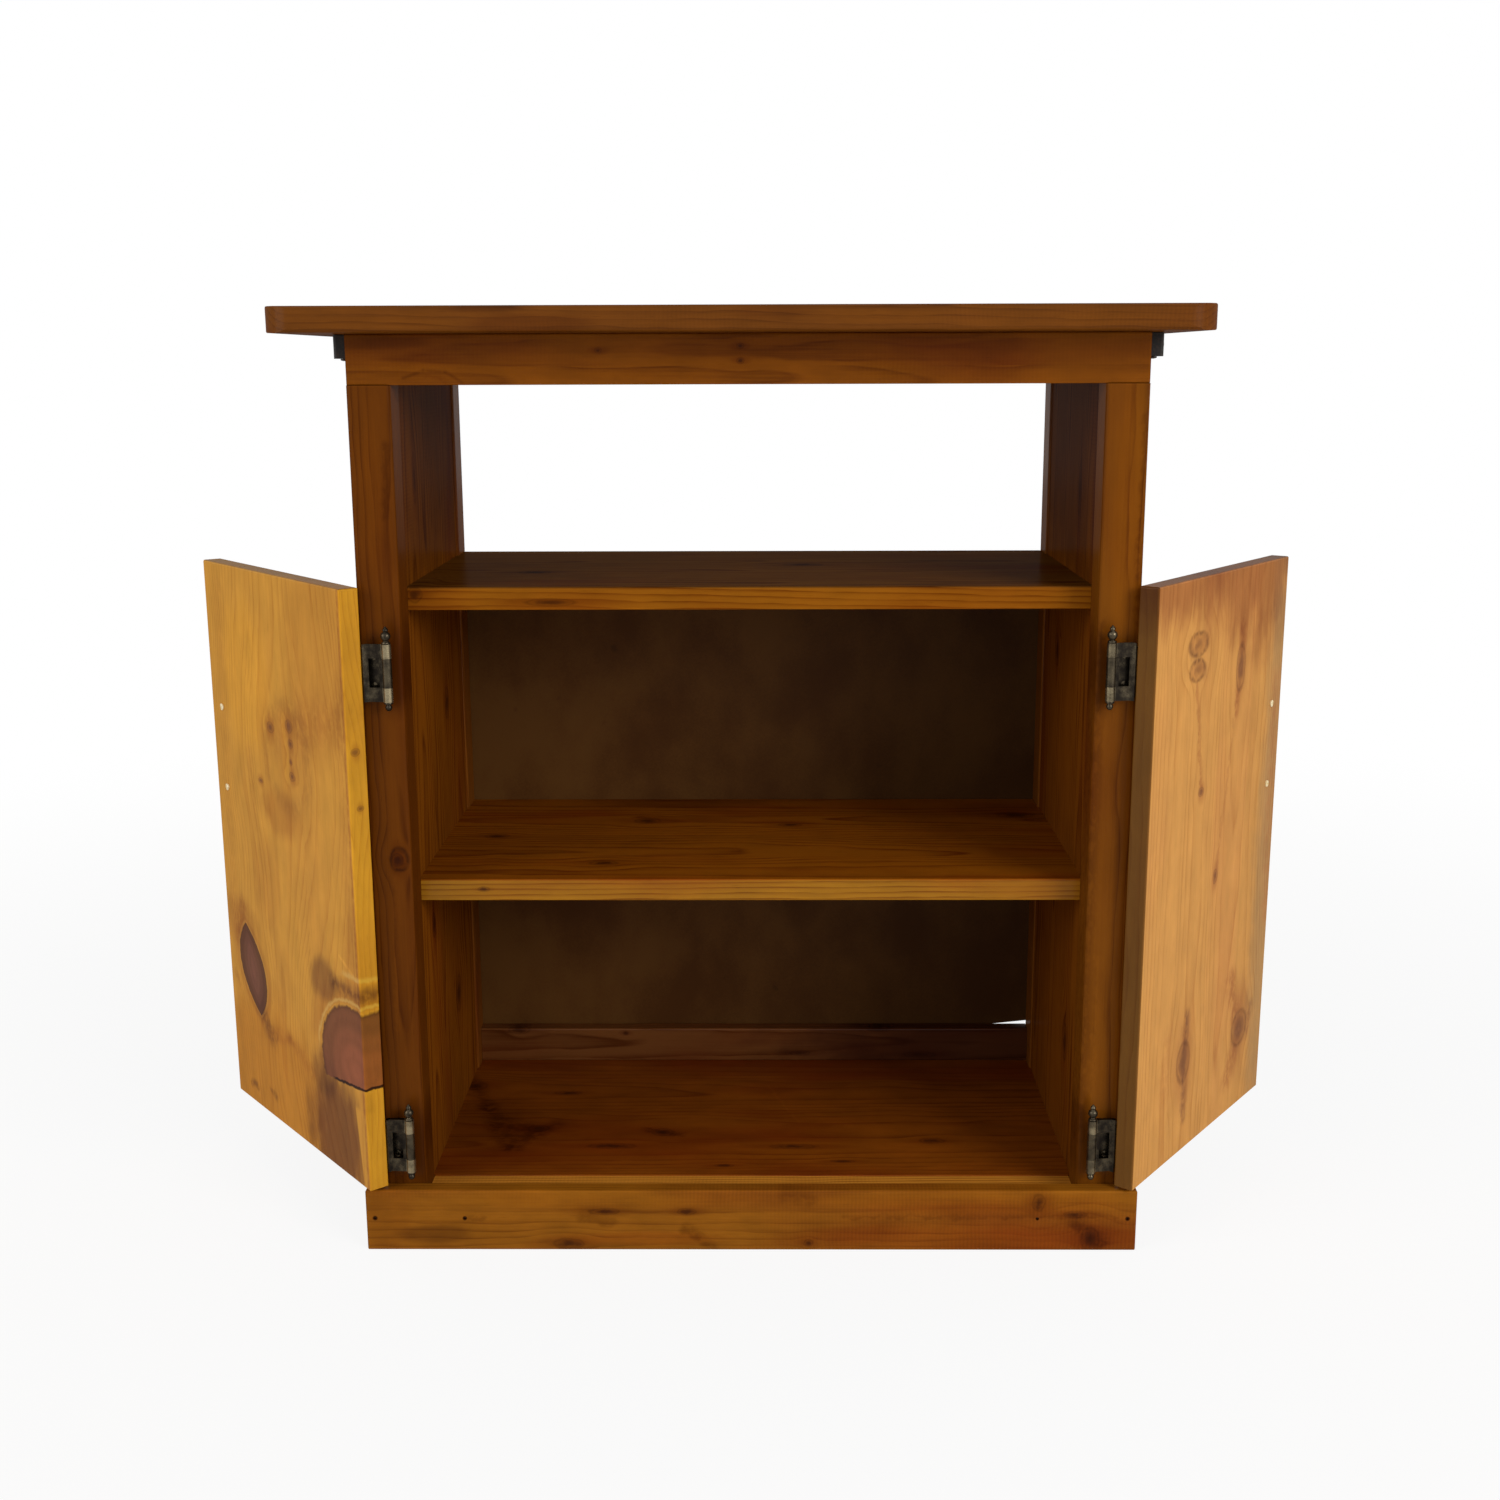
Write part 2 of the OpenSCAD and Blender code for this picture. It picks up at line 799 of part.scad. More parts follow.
module door_left() { door(open_left); }

module door_right() { right_hand() door(open_right); }

// Bow handle: two turned feet and a round grip
module handle(open) {
    color(brass_colour)
    at_door(open) {
        handle_screw_places()
            translate([0, 0, door_t])
                difference() {
                    union() {
                        cylinder(h = 2.5, r = rosette_r);
                        cylinder(h = 6, r1 = grip_r + 2.5, r2 = grip_r - 0.5);
                        cylinder(h = handle_off, r = grip_r - 0.5);
                        translate([0, 0, handle_off]) sphere(grip_r);
                    }
                    translate([0, 0, -1]) cylinder(h = foot_bore_l + 1, r = bolt_r + hole_fit);
                }
        translate([door_x0 + door_w - handle_in, door_y0 - handle_off, handle_z - handle_l / 2])
            cylinder(h = handle_l, r = grip_r);
    }
}

module handle_left() { handle(open_left); }

module handle_right() { right_hand() handle(open_right); }

module handle_screws(open) {
    color(steel_colour)
    at_door(open)
        handle_screw_places() {
            cylinder(h = door_t + thread_depth, r = bolt_r);
            translate([0, 0, -pan_h]) cylinder(h = pan_h, r1 = pan_r - 0.8, r2 = pan_r);
        }
}

module handle_screws_left() { handle_screws(open_left); }

module handle_screws_right() { right_hand() handle_screws(open_right); }

top_board();
apron_front();
apron_back();
apron_left();
apron_right();
corner_blocks();
corner_block_screws();
apron_dowels();
post_front_left();
post_front_right();
post_rear_left();
post_rear_right();
side_panel_left();
side_panel_right();
side_rail_left();
side_rail_right();
shelf_upper();
shelf_middle();
bottom_board();
bottom_front_rail();
rear_bottom_rail();
back_panel();
back_panel_nails();
plinth_front();
plinth_left();
plinth_right();
plinth_nails();
post_leaf_upper_left();
post_leaf_lower_left();
post_leaf_upper_right();
post_leaf_lower_right();
hinge_pin_upper_left();
hinge_pin_lower_left();
hinge_pin_upper_right();
hinge_pin_lower_right();
post_leaf_screws_left();
post_leaf_screws_right();
door_left();
door_leaf_upper_left();
door_leaf_lower_left();
door_leaf_screws_left();
handle_left();
handle_screws_left();
door_right();
door_leaf_upper_right();
door_leaf_lower_right();
door_leaf_screws_right();
handle_right();
handle_screws_right();
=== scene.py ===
import json
import math

import bmesh
import bpy
from mathutils import Matrix, Vector


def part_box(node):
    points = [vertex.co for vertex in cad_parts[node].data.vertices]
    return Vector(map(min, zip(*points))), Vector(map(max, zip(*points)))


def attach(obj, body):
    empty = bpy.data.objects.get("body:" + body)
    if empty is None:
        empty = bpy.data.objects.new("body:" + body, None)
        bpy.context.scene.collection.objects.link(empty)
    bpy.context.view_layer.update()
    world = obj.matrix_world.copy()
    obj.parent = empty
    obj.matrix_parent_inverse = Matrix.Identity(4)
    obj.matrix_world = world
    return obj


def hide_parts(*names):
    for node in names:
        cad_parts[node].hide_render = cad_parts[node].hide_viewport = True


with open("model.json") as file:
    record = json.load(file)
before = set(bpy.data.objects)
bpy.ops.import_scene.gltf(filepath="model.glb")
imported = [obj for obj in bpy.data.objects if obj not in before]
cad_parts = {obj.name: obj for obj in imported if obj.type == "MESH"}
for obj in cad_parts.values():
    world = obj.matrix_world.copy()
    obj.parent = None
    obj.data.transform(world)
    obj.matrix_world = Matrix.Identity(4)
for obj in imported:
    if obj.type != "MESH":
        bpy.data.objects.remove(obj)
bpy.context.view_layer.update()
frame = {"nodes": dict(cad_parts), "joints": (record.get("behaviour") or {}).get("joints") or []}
nodes = frame["nodes"]
print("frame loaded:", len(nodes), "nodes")

# Shader maths


class Amount:  # a number, colour or vector that comes out of a node
    def __init__(self, finish, socket):
        self.finish = finish
        self.socket = socket

    def __add__(self, other):
        return self.finish.join("ADD", self, other)

    def __sub__(self, other):
        return self.finish.join("SUBTRACT", self, other)

    def __rsub__(self, other):
        return self.finish.join("SUBTRACT", other, self)

    def __mul__(self, other):
        return self.finish.join("MULTIPLY", self, other)

    def __truediv__(self, other):
        return self.finish.join("DIVIDE", self, other)

    def __pow__(self, other):
        return self.finish.join("POWER", self, other)


class Maker:  # adds nodes to one tree
    def add(self, kind, settings=None, values=None, output=0):
        node = self.tree.nodes.new(kind)
        for key, value in (settings or {}).items():
            if key == "stops":
                setStops(node.color_ramp, value)
            else:
                setattr(node, key, value)
        for key, value in (values or {}).items():
            if isinstance(value, Amount):
                self.link(value, node.inputs[key])
            else:
                node.inputs[key].default_value = value
        return Amount(self, node.outputs[output])

    def split(self, value, kind="ShaderNodeSeparateXYZ"):
        node = self.add(kind, {}, {0: value}).socket.node
        return [Amount(self, socket) for socket in node.outputs]

    def join(self, operation, first, second=0.0):
        return self.add("ShaderNodeMath", {"operation": operation}, {0: first, 1: second})

    def link(self, value, socket):
        self.tree.links.new(value.socket, socket)


class Finish(Maker):  # one material, built node by node
    def __init__(self, name):
        self.material = bpy.data.materials.new(name)
        self.material.use_nodes = True
        self.tree = self.material.node_tree
        self.tree.nodes.clear()
        self.out = self.tree.nodes.new("ShaderNodeOutputMaterial")

    def vector(self, operation, first, second, output=0):
        key = "Scale" if operation == "SCALE" else 1
        return self.add("ShaderNodeVectorMath", {"operation": operation}, {0: first, key: second}, output)

    def noise(self, place, stretch, seed, detail=2.0, output=0):
        spread = self.vector("MULTIPLY", place, stretch)
        moved = self.vector("ADD", spread, (seed * 7.3, seed * 3.1, seed * 5.7))
        values = {"Vector": moved, "Scale": 1.0, "Detail": detail, "Roughness": 0.55}
        return self.add("ShaderNodeTexNoise", {"noise_dimensions": "3D"}, values, output)

    def fade(self, value, low, high, start=0.0, end=1.0):
        values = {0: value, 1: low, 2: high, 3: start, 4: end}
        return self.add("ShaderNodeMapRange", {"interpolation_type": "SMOOTHSTEP"}, values)

    def drop(self, value, low, high, start=1.0):
        return self.fade(value, low, high, start, 0.0)

    def band(self, value, low, middle, high):  # up to 1 in the middle, and down again
        return self.fade(value, low, middle) * self.drop(value, middle, high)

    def mix(self, factor, first, second, blend="MIX"):
        settings = {"data_type": "RGBA", "blend_type": blend}
        return self.add("ShaderNodeMix", settings, {0: factor, 6: first, 7: second}, 2)

    def ownPlace(self, place):  # the piece's own millimetres
        row = self.add("ShaderNodeTexCoord", {}, {}, 3)
        turn = (0, 0, place["turn"])
        values = {"Vector": row, "Location": place["shift"], "Rotation": turn, "Scale": place["scale"]}
        return self.add("ShaderNodeMapping", {}, values)

    def surface(self, colour, roughness, height, constants, bumpDepth, metallic=0.0):
        values = {"Strength": constants.get("bump", 0.35), "Distance": bumpDepth, "Height": height}
        normal = self.add("ShaderNodeBump", {}, values)
        values = {"Base Color": colour, "Roughness": roughness, "Metallic": metallic, "Normal": normal}
        for key in ("Coat Weight", "Coat Roughness", "Specular IOR Level"):
            if key in constants:
                values[key] = constants[key]
        shader = self.add("ShaderNodeBsdfPrincipled", {}, values)
        self.link(shader, self.out.inputs["Surface"])
        return self.material


def setStops(ramp, stops):
    while len(ramp.elements) < len(stops):
        ramp.elements.new(0.5)
    for element, (position, grey) in zip(ramp.elements, stops):
        element.position = position
        element.color = (grey, grey, grey, 1.0)


def paint(red, green, blue):  # screen colour, 0 to 255, as the light that it stands for
    def light(level):
        level = level / 255.0
        return level / 12.92 if level <= 0.04045 else ((level + 0.055) / 1.055) ** 2.4

    return (light(red), light(green), light(blue), 1.0)


def assign(name, material):
    mesh = nodes[name].data
    mesh.materials.clear()
    mesh.materials.append(material)
    for face in mesh.polygons:
        face.material_index = 0


# Where the doors stand: in a door's own frame the pivot is at 0, the free edge along +X, the inner face at +Y

places = {"carcass": {"scale": (1000, 1000, 1000), "turn": 0.0, "shift": (0, 0, 0)}}
for joint in frame["joints"]:
    side = joint["name"].split("_")[0]
    flip = -1 if side == "right" else 1
    turn = math.radians(max(joint["range_deg"]))
    pivot = Vector((joint["pos_m"][0] * flip, joint["pos_m"][1], 0)) * 1000
    shift = -(Matrix.Rotation(turn, 3, "Z") @ pivot)
    places[side] = {"scale": (1000 * flip, 1000, 1000), "turn": turn, "shift": tuple(shift)}
print("doors stand at", [round(math.degrees(p["turn"]), 1) for p in places.values()])


def ownFrame(place):  # from row metres to the piece's own millimetres
    scale = Matrix.Diagonal((*place["scale"], 1))
    return Matrix.Translation(place["shift"]) @ Matrix.Rotation(place["turn"], 4, "Z") @ scale


def ownBox(name, place, order):
    matrix = ownFrame(place)
    points = [matrix @ vertex.co for vertex in nodes[name].data.vertices]
    low = [min(p["xyz".index(axis)] for p in points) for axis in order]
    high = [max(p["xyz".index(axis)] for p in points) for axis in order]
    return low, high


# Wood: one knotty pine for every board, with the board's own figure

palettes = {  # screen colours of the stained pine: between the rings, the rings, and where the stain went red
    "top": {"pale": (122, 72, 27), "ring": (76, 38, 12), "blush": (104, 46, 22)},
    "frame": {"pale": (126, 72, 20), "ring": (80, 36, 7), "blush": (102, 46, 16)},
    "shelf": {"pale": (158, 98, 26), "ring": (112, 56, 9), "blush": (134, 62, 14)},
    "plinth": {"pale": (144, 88, 26), "ring": (98, 50, 10), "blush": (122, 58, 18)},
    "leftDoor": {"pale": (207, 149, 68), "ring": (168, 104, 38), "blush": (178, 112, 66)},
    "rightDoor": {"pale": (210, 150, 78), "ring": (172, 108, 48), "blush": (186, 112, 66)},
}

knotLooks = {  # a knot's two colours and its rim's, how strong heart and rim are, and where the heart fades
    "dark": {
        "tones": [(60, 26, 9), (36, 14, 5), (26, 10, 4)],
        "heart": 0.75,
        "rim": 0.3,
        "heartEdge": (0.1, 1.1),
    },
    "door": {
        "tones": [(128, 80, 50), (92, 52, 34), (96, 56, 32)],
        "heart": 0.75,
        "rim": 0.5,
        "heartEdge": (0.25, 1.1),
    },
}

figure = {  # sizes in millimetres
    "ringGap": 5.5,  # between two growth rings
    "ringStops": [(0.0, 0.0), (0.45, 0.1), (0.78, 0.62), (0.9, 1.0), (1.0, 0.05)],  # how dark across one ring
    "ringShare": 0.75,
    "pithDepth": (14, 60),  # the heart of the tree below the face
    "pithTilt": 0.05,  # how fast the heart runs out of the board
    "wander": 9.0,  # how far the grain strays
    "bends": {"knot": (0.82, 0.16), "swirl": (0.85, 0.25), "great": (0.8, 0.3)},  # pull and its fading
    "flame": (2.6, 1.35),  # length and width of a knot's dark flame to the knot's own
    "through": 900,  # half depth of a spot that goes through the board
    "knotWobble": 5.0,  # how far a knot's outline strays
    "strokeWobble": 16.0,
    "straightStroke": 3.0,  # a stroke less than this wide at each side doesn't stray
    "fibreShare": 0.55,
    "cloud": 0.3,
    "chatterGap": 4.2,  # between the planer's marks
    # arris and wear: width and strength of the paler arris band, which is wear and painted highlight
    "arris": 2.2,
    "wear": 0.22,
    "endDark": 0.62,
    "roughness": 0.36,
    "coat": (0.2, 0.24),  # weight and roughness of the varnish
    "bump": 0.4,
    "bumpDepth": 0.0005,  # metres
}

edges = {  # where each mark starts to change and where it ends, 1 being its own outline
    "knotRim": (0.76, 0.96, 1.2),
    "flame": (0.3, 1.35),
    "swirl": (0.6, 1.3),
    "swirlHeart": (0.1, 0.7),
    "swirlRim": (0.6, 0.95, 1.25),
    "great": (0.94, 1.0),
    "greatHeart": (0.1, 0.95),
    "greatRim": (0.9, 0.97, 1.02),
    "greatLine": (1.01, 1.05, 1.1),
    "greatArc": (1.4, 1.45, 1.53),
    "patch": (0.55, 1.25),
    "stroke": (0.0, 1.3),
    "nailHole": (0.6, 1.1),
}

crack = {  # millimetres above the crack, or across the door, where each mark fades
    "tone": (34, 10, 8),
    "wobble": 4,
    "inside": (-1.0, 1.0),
    "shadow": (20.0, 60.0),
    "line": (20.0, 50.0),
    "arc": (60.0, 90.0),
    "arcEnd": (45.0, 65.0),
    "gap": (1.0, 2.4),
    "gapEnd": (84.0, 96.0),
}

noises = {  # waves in a millimetre along the grain and across it, and detail
    "broad": (0.003, 0.011, 2.0),
    "stray": (0.011, 0.05, 2.0),
    "fibre": (0.012, 0.55, 4.0),
    "fleck": (0.05, 0.9, 2.0),
    "rough": (0.09, 0.13, 2.0),
    "cloud": (0.018, 0.04, 3.0),
}

tints = {  # what multiplies the wood's colour in a patch
    "dark": (0.5, 0.42, 0.38),
    "brown": (0.72, 0.6, 0.62),
    "umber": (0.36, 0.29, 0.48),
    "red": (0.95, 0.68, 0.66),
    "gold": (1.18, 1.16, 0.9),
    # grey stands for painted sheen on the side panels' upper part
    "grey": (0.6, 0.58, 1.0),
    "amber": (0.84, 0.68, 0.42),
    "mauve": (0.76, 0.86, 1.2),
    "pale": (1.35, 1.4, 1.5),
    "black": (0.12, 0.08, 0.08),
}


def length(first, second):
    return (first * first + second * second) ** 0.5


def strokeReach(along, across, start, end, halfWidth):  # 0 on the line from start to end, 1 at its edge
    stepU, stepV = end[0] - start[0], end[1] - start[1]
    share = ((along - start[0]) * stepU + (across - start[1]) * stepV) / (stepU ** 2 + stepV ** 2)
    share = along.finish.join("MINIMUM", along.finish.join("MAXIMUM", share), 1.0)
    return length(along - start[0] - share * stepU, across - start[1] - share * stepV) / halfWidth


class Pine(Finish):  # the wood of one board, with its grain along, across and through it
    def __init__(self, name, board, place):
        super().__init__(name)
        self.board = board
        self.low, self.high = ownBox(name, place, board["order"])
        own = self.split(self.ownPlace(place))
        self.axes = [own["xyz".index(axis)] for axis in board["order"]]
        self.along, self.across, self.depth = self.axes
        self.grain = self.add("ShaderNodeCombineXYZ", {}, dict(enumerate(self.axes)))
        for number, (key, (lengthwise, sidewise, detail)) in enumerate(noises.items()):
            stretch = (lengthwise, sidewise, sidewise)
            setattr(self, key, self.noise(self.grain, stretch, board["seed"] + number, detail))

    def tint(self, share, tint):
        self.colour = self.mix(share, self.colour, (*tints.get(tint, tint), 1.0), "MULTIPLY")

    def cover(self, share, colour):
        self.colour = self.mix(share, self.colour, colour)

    def scale(self, amount):
        self.colour = self.vector("SCALE", self.colour, amount)

    def spot(self, u, v, w, halfU, halfV, halfW):  # 0 in the spot's middle, 1 at its edge
        away = self.vector("SUBTRACT", self.grain, (u, v, w))
        return self.vector("LENGTH", self.vector("DIVIDE", away, (halfU, halfV, halfW)), (0, 0, 0), 1)

    def bend(self, v, reach, kind):
        pull, fall = figure["bends"][kind]
        self.bent = self.bent - (self.across - v) * self.join("EXPONENT", reach * reach * -fall) * pull

    def wobbly(self, reach, halfU, halfV):
        return reach + (self.rough - 0.5) * min(0.9, figure["knotWobble"] / min(halfU, halfV))

    def nearer(self, first, second):
        return second if first is None else self.join("MINIMUM", first, second)

    def bendGrain(self):  # round every knot
        wander, (longer, wider) = figure["wander"], figure["flame"]
        self.bent = self.across + (self.broad - 0.5) * (3 * wander) + (self.stray - 0.5) * wander
        self.knot = self.flame = self.swirl = None
        middle = (self.low[2] + self.high[2]) / 2
        for u, v, halfU, halfV, *rest in self.board.get("knots", []):
            halfW, w = rest or (figure["through"], middle)
            reach = self.spot(u, v, w, halfU, halfV, halfW)
            self.bend(v, reach, "knot")
            self.knot = self.nearer(self.knot, self.wobbly(reach, halfU, halfV))
            self.flame = self.nearer(self.flame, self.spot(u, v, w, halfU * longer, halfV * wider, halfW))
        for u, v, halfU, halfV in self.board.get("swirls", []):
            reach = length((self.along - u) / halfU, (self.across - v) / halfV)
            self.bend(v, reach, "swirl")
            self.swirl = self.nearer(self.swirl, self.wobbly(reach, halfU, halfV))
        self.greats = []
        for knot in self.board.get("greatKnots", []):
            (u, v), (halfU, halfV) = knot["at"], knot["half"]
            upward = (self.along - u) / halfU
            sidewise = (self.across - v - (self.along - u) * knot["lean"]) / halfV
            reach = length(upward, sidewise)
            if "pointed" in knot:
                lens = self.join("ABSOLUTE", sidewise) + upward * upward
                reach = reach * (1 - knot["pointed"]) + lens * knot["pointed"]
            self.bend(v, reach, "great")
            self.greats.append((knot, reach + (self.rough - 0.5) * 0.1))

    def growRings(self):  # each glued stave comes from another place in the tree
        board = self.board
        palette = {}
        for key, value in palettes[board["palette"]].items():
            stain = board.get("tone", (1.0, 1.0, 1.0))
            palette[key] = paint(*[level * share for level, share in zip(value, stain)])
        width, shift = board["stave"], board.get("staveShift", 0)
        stave = self.join("FLOOR", (self.across - self.low[1] + shift) / width)
        values = {"W": stave + board["seed"] * 3.7}
        chance = self.add("ShaderNodeTexWhiteNoise", {"noise_dimensions": "1D"}, values, 1)
        pick = self.split(chance, "ShaderNodeSeparateColor")
        middle = (stave + 0.5) * width + (self.low[1] - shift)
        heartAcross = middle + (pick[0] - 0.5) * (0.9 * width)
        near, far = figure["pithDepth"]
        heartDepth = pick[1] * (far - near) + (near - self.low[2])
        tilt = self.along * figure["pithTilt"] * (pick[2] - 0.5)
        radius = length(self.bent - heartAcross, self.depth + heartDepth + tilt)
        phase = radius / figure["ringGap"] + self.broad * 2.2
        ring = self.add("ShaderNodeValToRGB", {"stops": figure["ringStops"]}, {0: self.join("FRACT", phase)})
        self.ring = self.split(ring, "ShaderNodeSeparateColor")[0]

        strength = board.get("rings", figure["ringShare"])
        tone = self.ring * strength * self.fade(self.stray, 0.25, 0.7, 0.45, 1.0)
        tone = tone + (self.fibre - 0.5) * figure["fibreShare"]
        self.colour = self.mix(self.fade(tone, -0.12, 0.85), palette["pale"], palette["ring"])
        blush = self.fade(self.broad + (pick[1] - 0.5) * 0.2, 0.5, 0.8) * board.get("blush", 0.75)
        self.cover(blush, palette["blush"])
        light = (pick[0] - 0.5) * board.get("staveTone", 0.16)
        light = light + (self.cloud - 0.5) * board.get("cloud", figure["cloud"])
        if "chatter" in board:  # the planer's fine marks across the grain
            marks = self.join("SINE", self.along * (2 * math.pi / figure["chatterGap"]) + self.stray * 6)
            light = light + marks * self.fade(self.broad, 0.4, 0.6) * board["chatter"]
        self.scale(light + 1.0)
        self.tint(self.fade(self.fleck, 0.66, 0.78) * 0.4, "dark")

    def stainAndShadePatches(self):
        # Most patches are stains; some are painted shadow, shade and sheen.
        for u, v, halfU, halfV, tint, share, *rest in self.board.get("patches", []):
            halfW, w = rest or (figure["through"], 0)
            reach = self.spot(u, v, w, halfU, halfV, halfW)
            reach = reach + (self.stray - 0.5) * 0.6 + (self.cloud - 0.5) * 0.5
            patch = self.drop(reach, *edges["patch"], share)
            if "wedge" in self.board and tint == "umber":  # clean wood between the stain and the arris
                top, width, slope = self.board["wedge"]
                clean = self.drop(self.across - (self.along - top) * slope - width, -1.5, 1.5)
                patch = patch * (1 - clean * self.drop(self.along, top - 4, top + 4))
            self.tint(patch, tint)

    def drawStrokes(self):
        strayAlong = self.along + (self.cloud - 0.5) * figure["strokeWobble"]
        strayAcross = self.across + (self.rough - 0.5) * figure["strokeWobble"]
        for u, v, nextU, nextV, halfWidth, tint, share in self.board.get("strokes", []):
            straight = halfWidth < figure["straightStroke"]
            here = (self.along, self.across) if straight else (strayAlong, strayAcross)
            reach = strokeReach(*here, (u, v), (nextU, nextV), halfWidth) + (self.stray - 0.5) * 0.8
            stroke = self.drop(reach, *edges["stroke"], share) * self.fade(self.rough, 0.3, 0.6, 0.35, 1.0)
            self.tint(stroke, tint)
        for u, v, radius in self.board.get("nailHoles", []):
            reach = length(self.along - u, self.across - v) / radius + (self.rough - 0.5) * 0.5
            self.tint(self.drop(reach, *edges["nailHole"], 0.95), "black")

    def setKnots(self):
        look = knotLooks[self.board.get("knotLook", "dark")]
        first, second, line = [paint(*tone) for tone in look["tones"]]
        knotTone = self.mix((self.rough - 0.5) * 1.8 + 0.5, first, second)
        self.body = 0.0
        if self.knot is not None:
            self.body = self.drop(self.knot + (self.rough - 0.5) * 0.6, *look["heartEdge"])
            rim = self.band(self.knot, *edges["knotRim"])
            flame = self.flame + (self.stray - 0.5) * 1.2 + (self.fibre - 0.5) * 0.6
            self.tint(self.drop(flame, *edges["flame"], 0.75), "brown")
            self.cover(self.body * look["heart"], knotTone)
            self.cover(rim * self.fade(self.rough, 0.3, 0.6, look["rim"] * 0.5, look["rim"]), line)
        if self.swirl is not None:  # a sound knot: the wood's own colour inside a thin dark line
            share = self.board.get("swirlShare", 1.0)
            rim = self.band(self.swirl, *edges["swirlRim"])
            heart = self.drop(self.swirl + (self.rough - 0.5) * 0.8, *edges["swirlHeart"], 0.5 * share)
            self.tint(self.drop(self.swirl, *edges["swirl"], 0.55 * share), "brown")
            self.cover(heart, knotTone)
            self.cover(rim * self.fade(self.rough, 0.3, 0.6, 0.15 * share, 0.6 * share), line)

    def setGreatKnots(self):
        # each has a pale outline, an arc above it and, on one, the crack that cuts it off
        for knot, reach in self.greats:
            inside = self.drop(reach, *edges["great"])
            shadow = self.fade(reach, 0.98, 1.04) * self.drop(reach, 1.1, 1.5)
            line = self.band(reach, *edges["greatLine"])
            if "crack" in knot:
                slope, start = knot["crack"]
                above = self.along - self.across * slope - start + (self.rough - 0.5) * crack["wobble"]
                inside = inside * self.fade(above, *crack["inside"])
                shadow = shadow * self.fade(above, *crack["shadow"])
                arc = self.band(reach, *edges["greatArc"]) * self.drop(self.across, *crack["arcEnd"])
                line = line * self.fade(above, *crack["line"]) + arc * self.fade(above, *crack["arc"])
            turn = self.fade(reach, *edges["greatHeart"])
            heart = self.mix(turn, paint(*knot["heart"]), paint(*knot["rim"]))
            rings = self.join("SINE", reach * 24.0) * 0.07
            rings = rings + (self.rough - 0.5) * 0.3 + (self.fibre - 0.5) * 0.3
            heart = self.vector("SCALE", heart, rings + 1.0)
            self.tint(shadow * 0.6, "brown")
            self.cover(line * knot["lineShare"], paint(*knot["line"]))
            self.cover(inside * 0.94, heart)
            self.scale(self.band(reach, *edges["greatRim"]) * inside * -0.35 + 1.0)
            if "crack" in knot:
                gap = self.drop(self.join("ABSOLUTE", above), *crack["gap"])
                self.cover(gap * self.drop(self.across, *crack["gapEnd"]) * 0.95, paint(*crack["tone"]))

    def finishEdges(self):
        # faces tinted on their own: the shelves' tops carry painted shade, the upper one painted sheen too;
        # the left door's hinge edge turns yellower and the right door's much darker
        for axis, end, tint in self.board.get("faces", []):
            value = self.axes[axis]
            gap = value - self.low[axis] if end == "low" else self.high[axis] - value
            self.tint(self.drop(gap, 0.6, 2.0), tint)
        # arrises are paler, partly from wear and partly as painted highlight on the eased edges, and the cut
        # ends drink more stain
        gaps = []
        for value, start, end in zip(self.axes, self.low, self.high):
            gaps.append((end - start) / 2 - self.join("ABSOLUTE", value - (start + end) / 2))
        lesser = self.join("MINIMUM", gaps[0], gaps[1])
        greater = self.join("MAXIMUM", gaps[0], gaps[1])
        second = self.join("MAXIMUM", lesser, self.join("MINIMUM", greater, gaps[2]))
        wearAndPaintedLight = self.drop(second + (self.stray - 0.5) * 2, 0.3, figure["arris"])
        self.scale(wearAndPaintedLight * self.board.get("wear", figure["wear"]) + 1.0)
        self.scale(self.fade(gaps[0], 0.3, 0.9, figure["endDark"], 1.0))

    def varnish(self):
        weight, coatRoughness = figure["coat"]
        roughness = (self.fibre - 0.5) * 0.16 + (self.broad - 0.5) * 0.2 + figure["roughness"]
        height = self.fibre * 0.5 - self.ring * 0.35 - self.body * 0.4
        constants = {"Coat Weight": self.board.get("varnish", weight), "Coat Roughness": coatRoughness,
                     "Specular IOR Level": 0.0, "bump": figure["bump"]}
        return self.surface(self.colour, roughness, height, constants, figure["bumpDepth"])


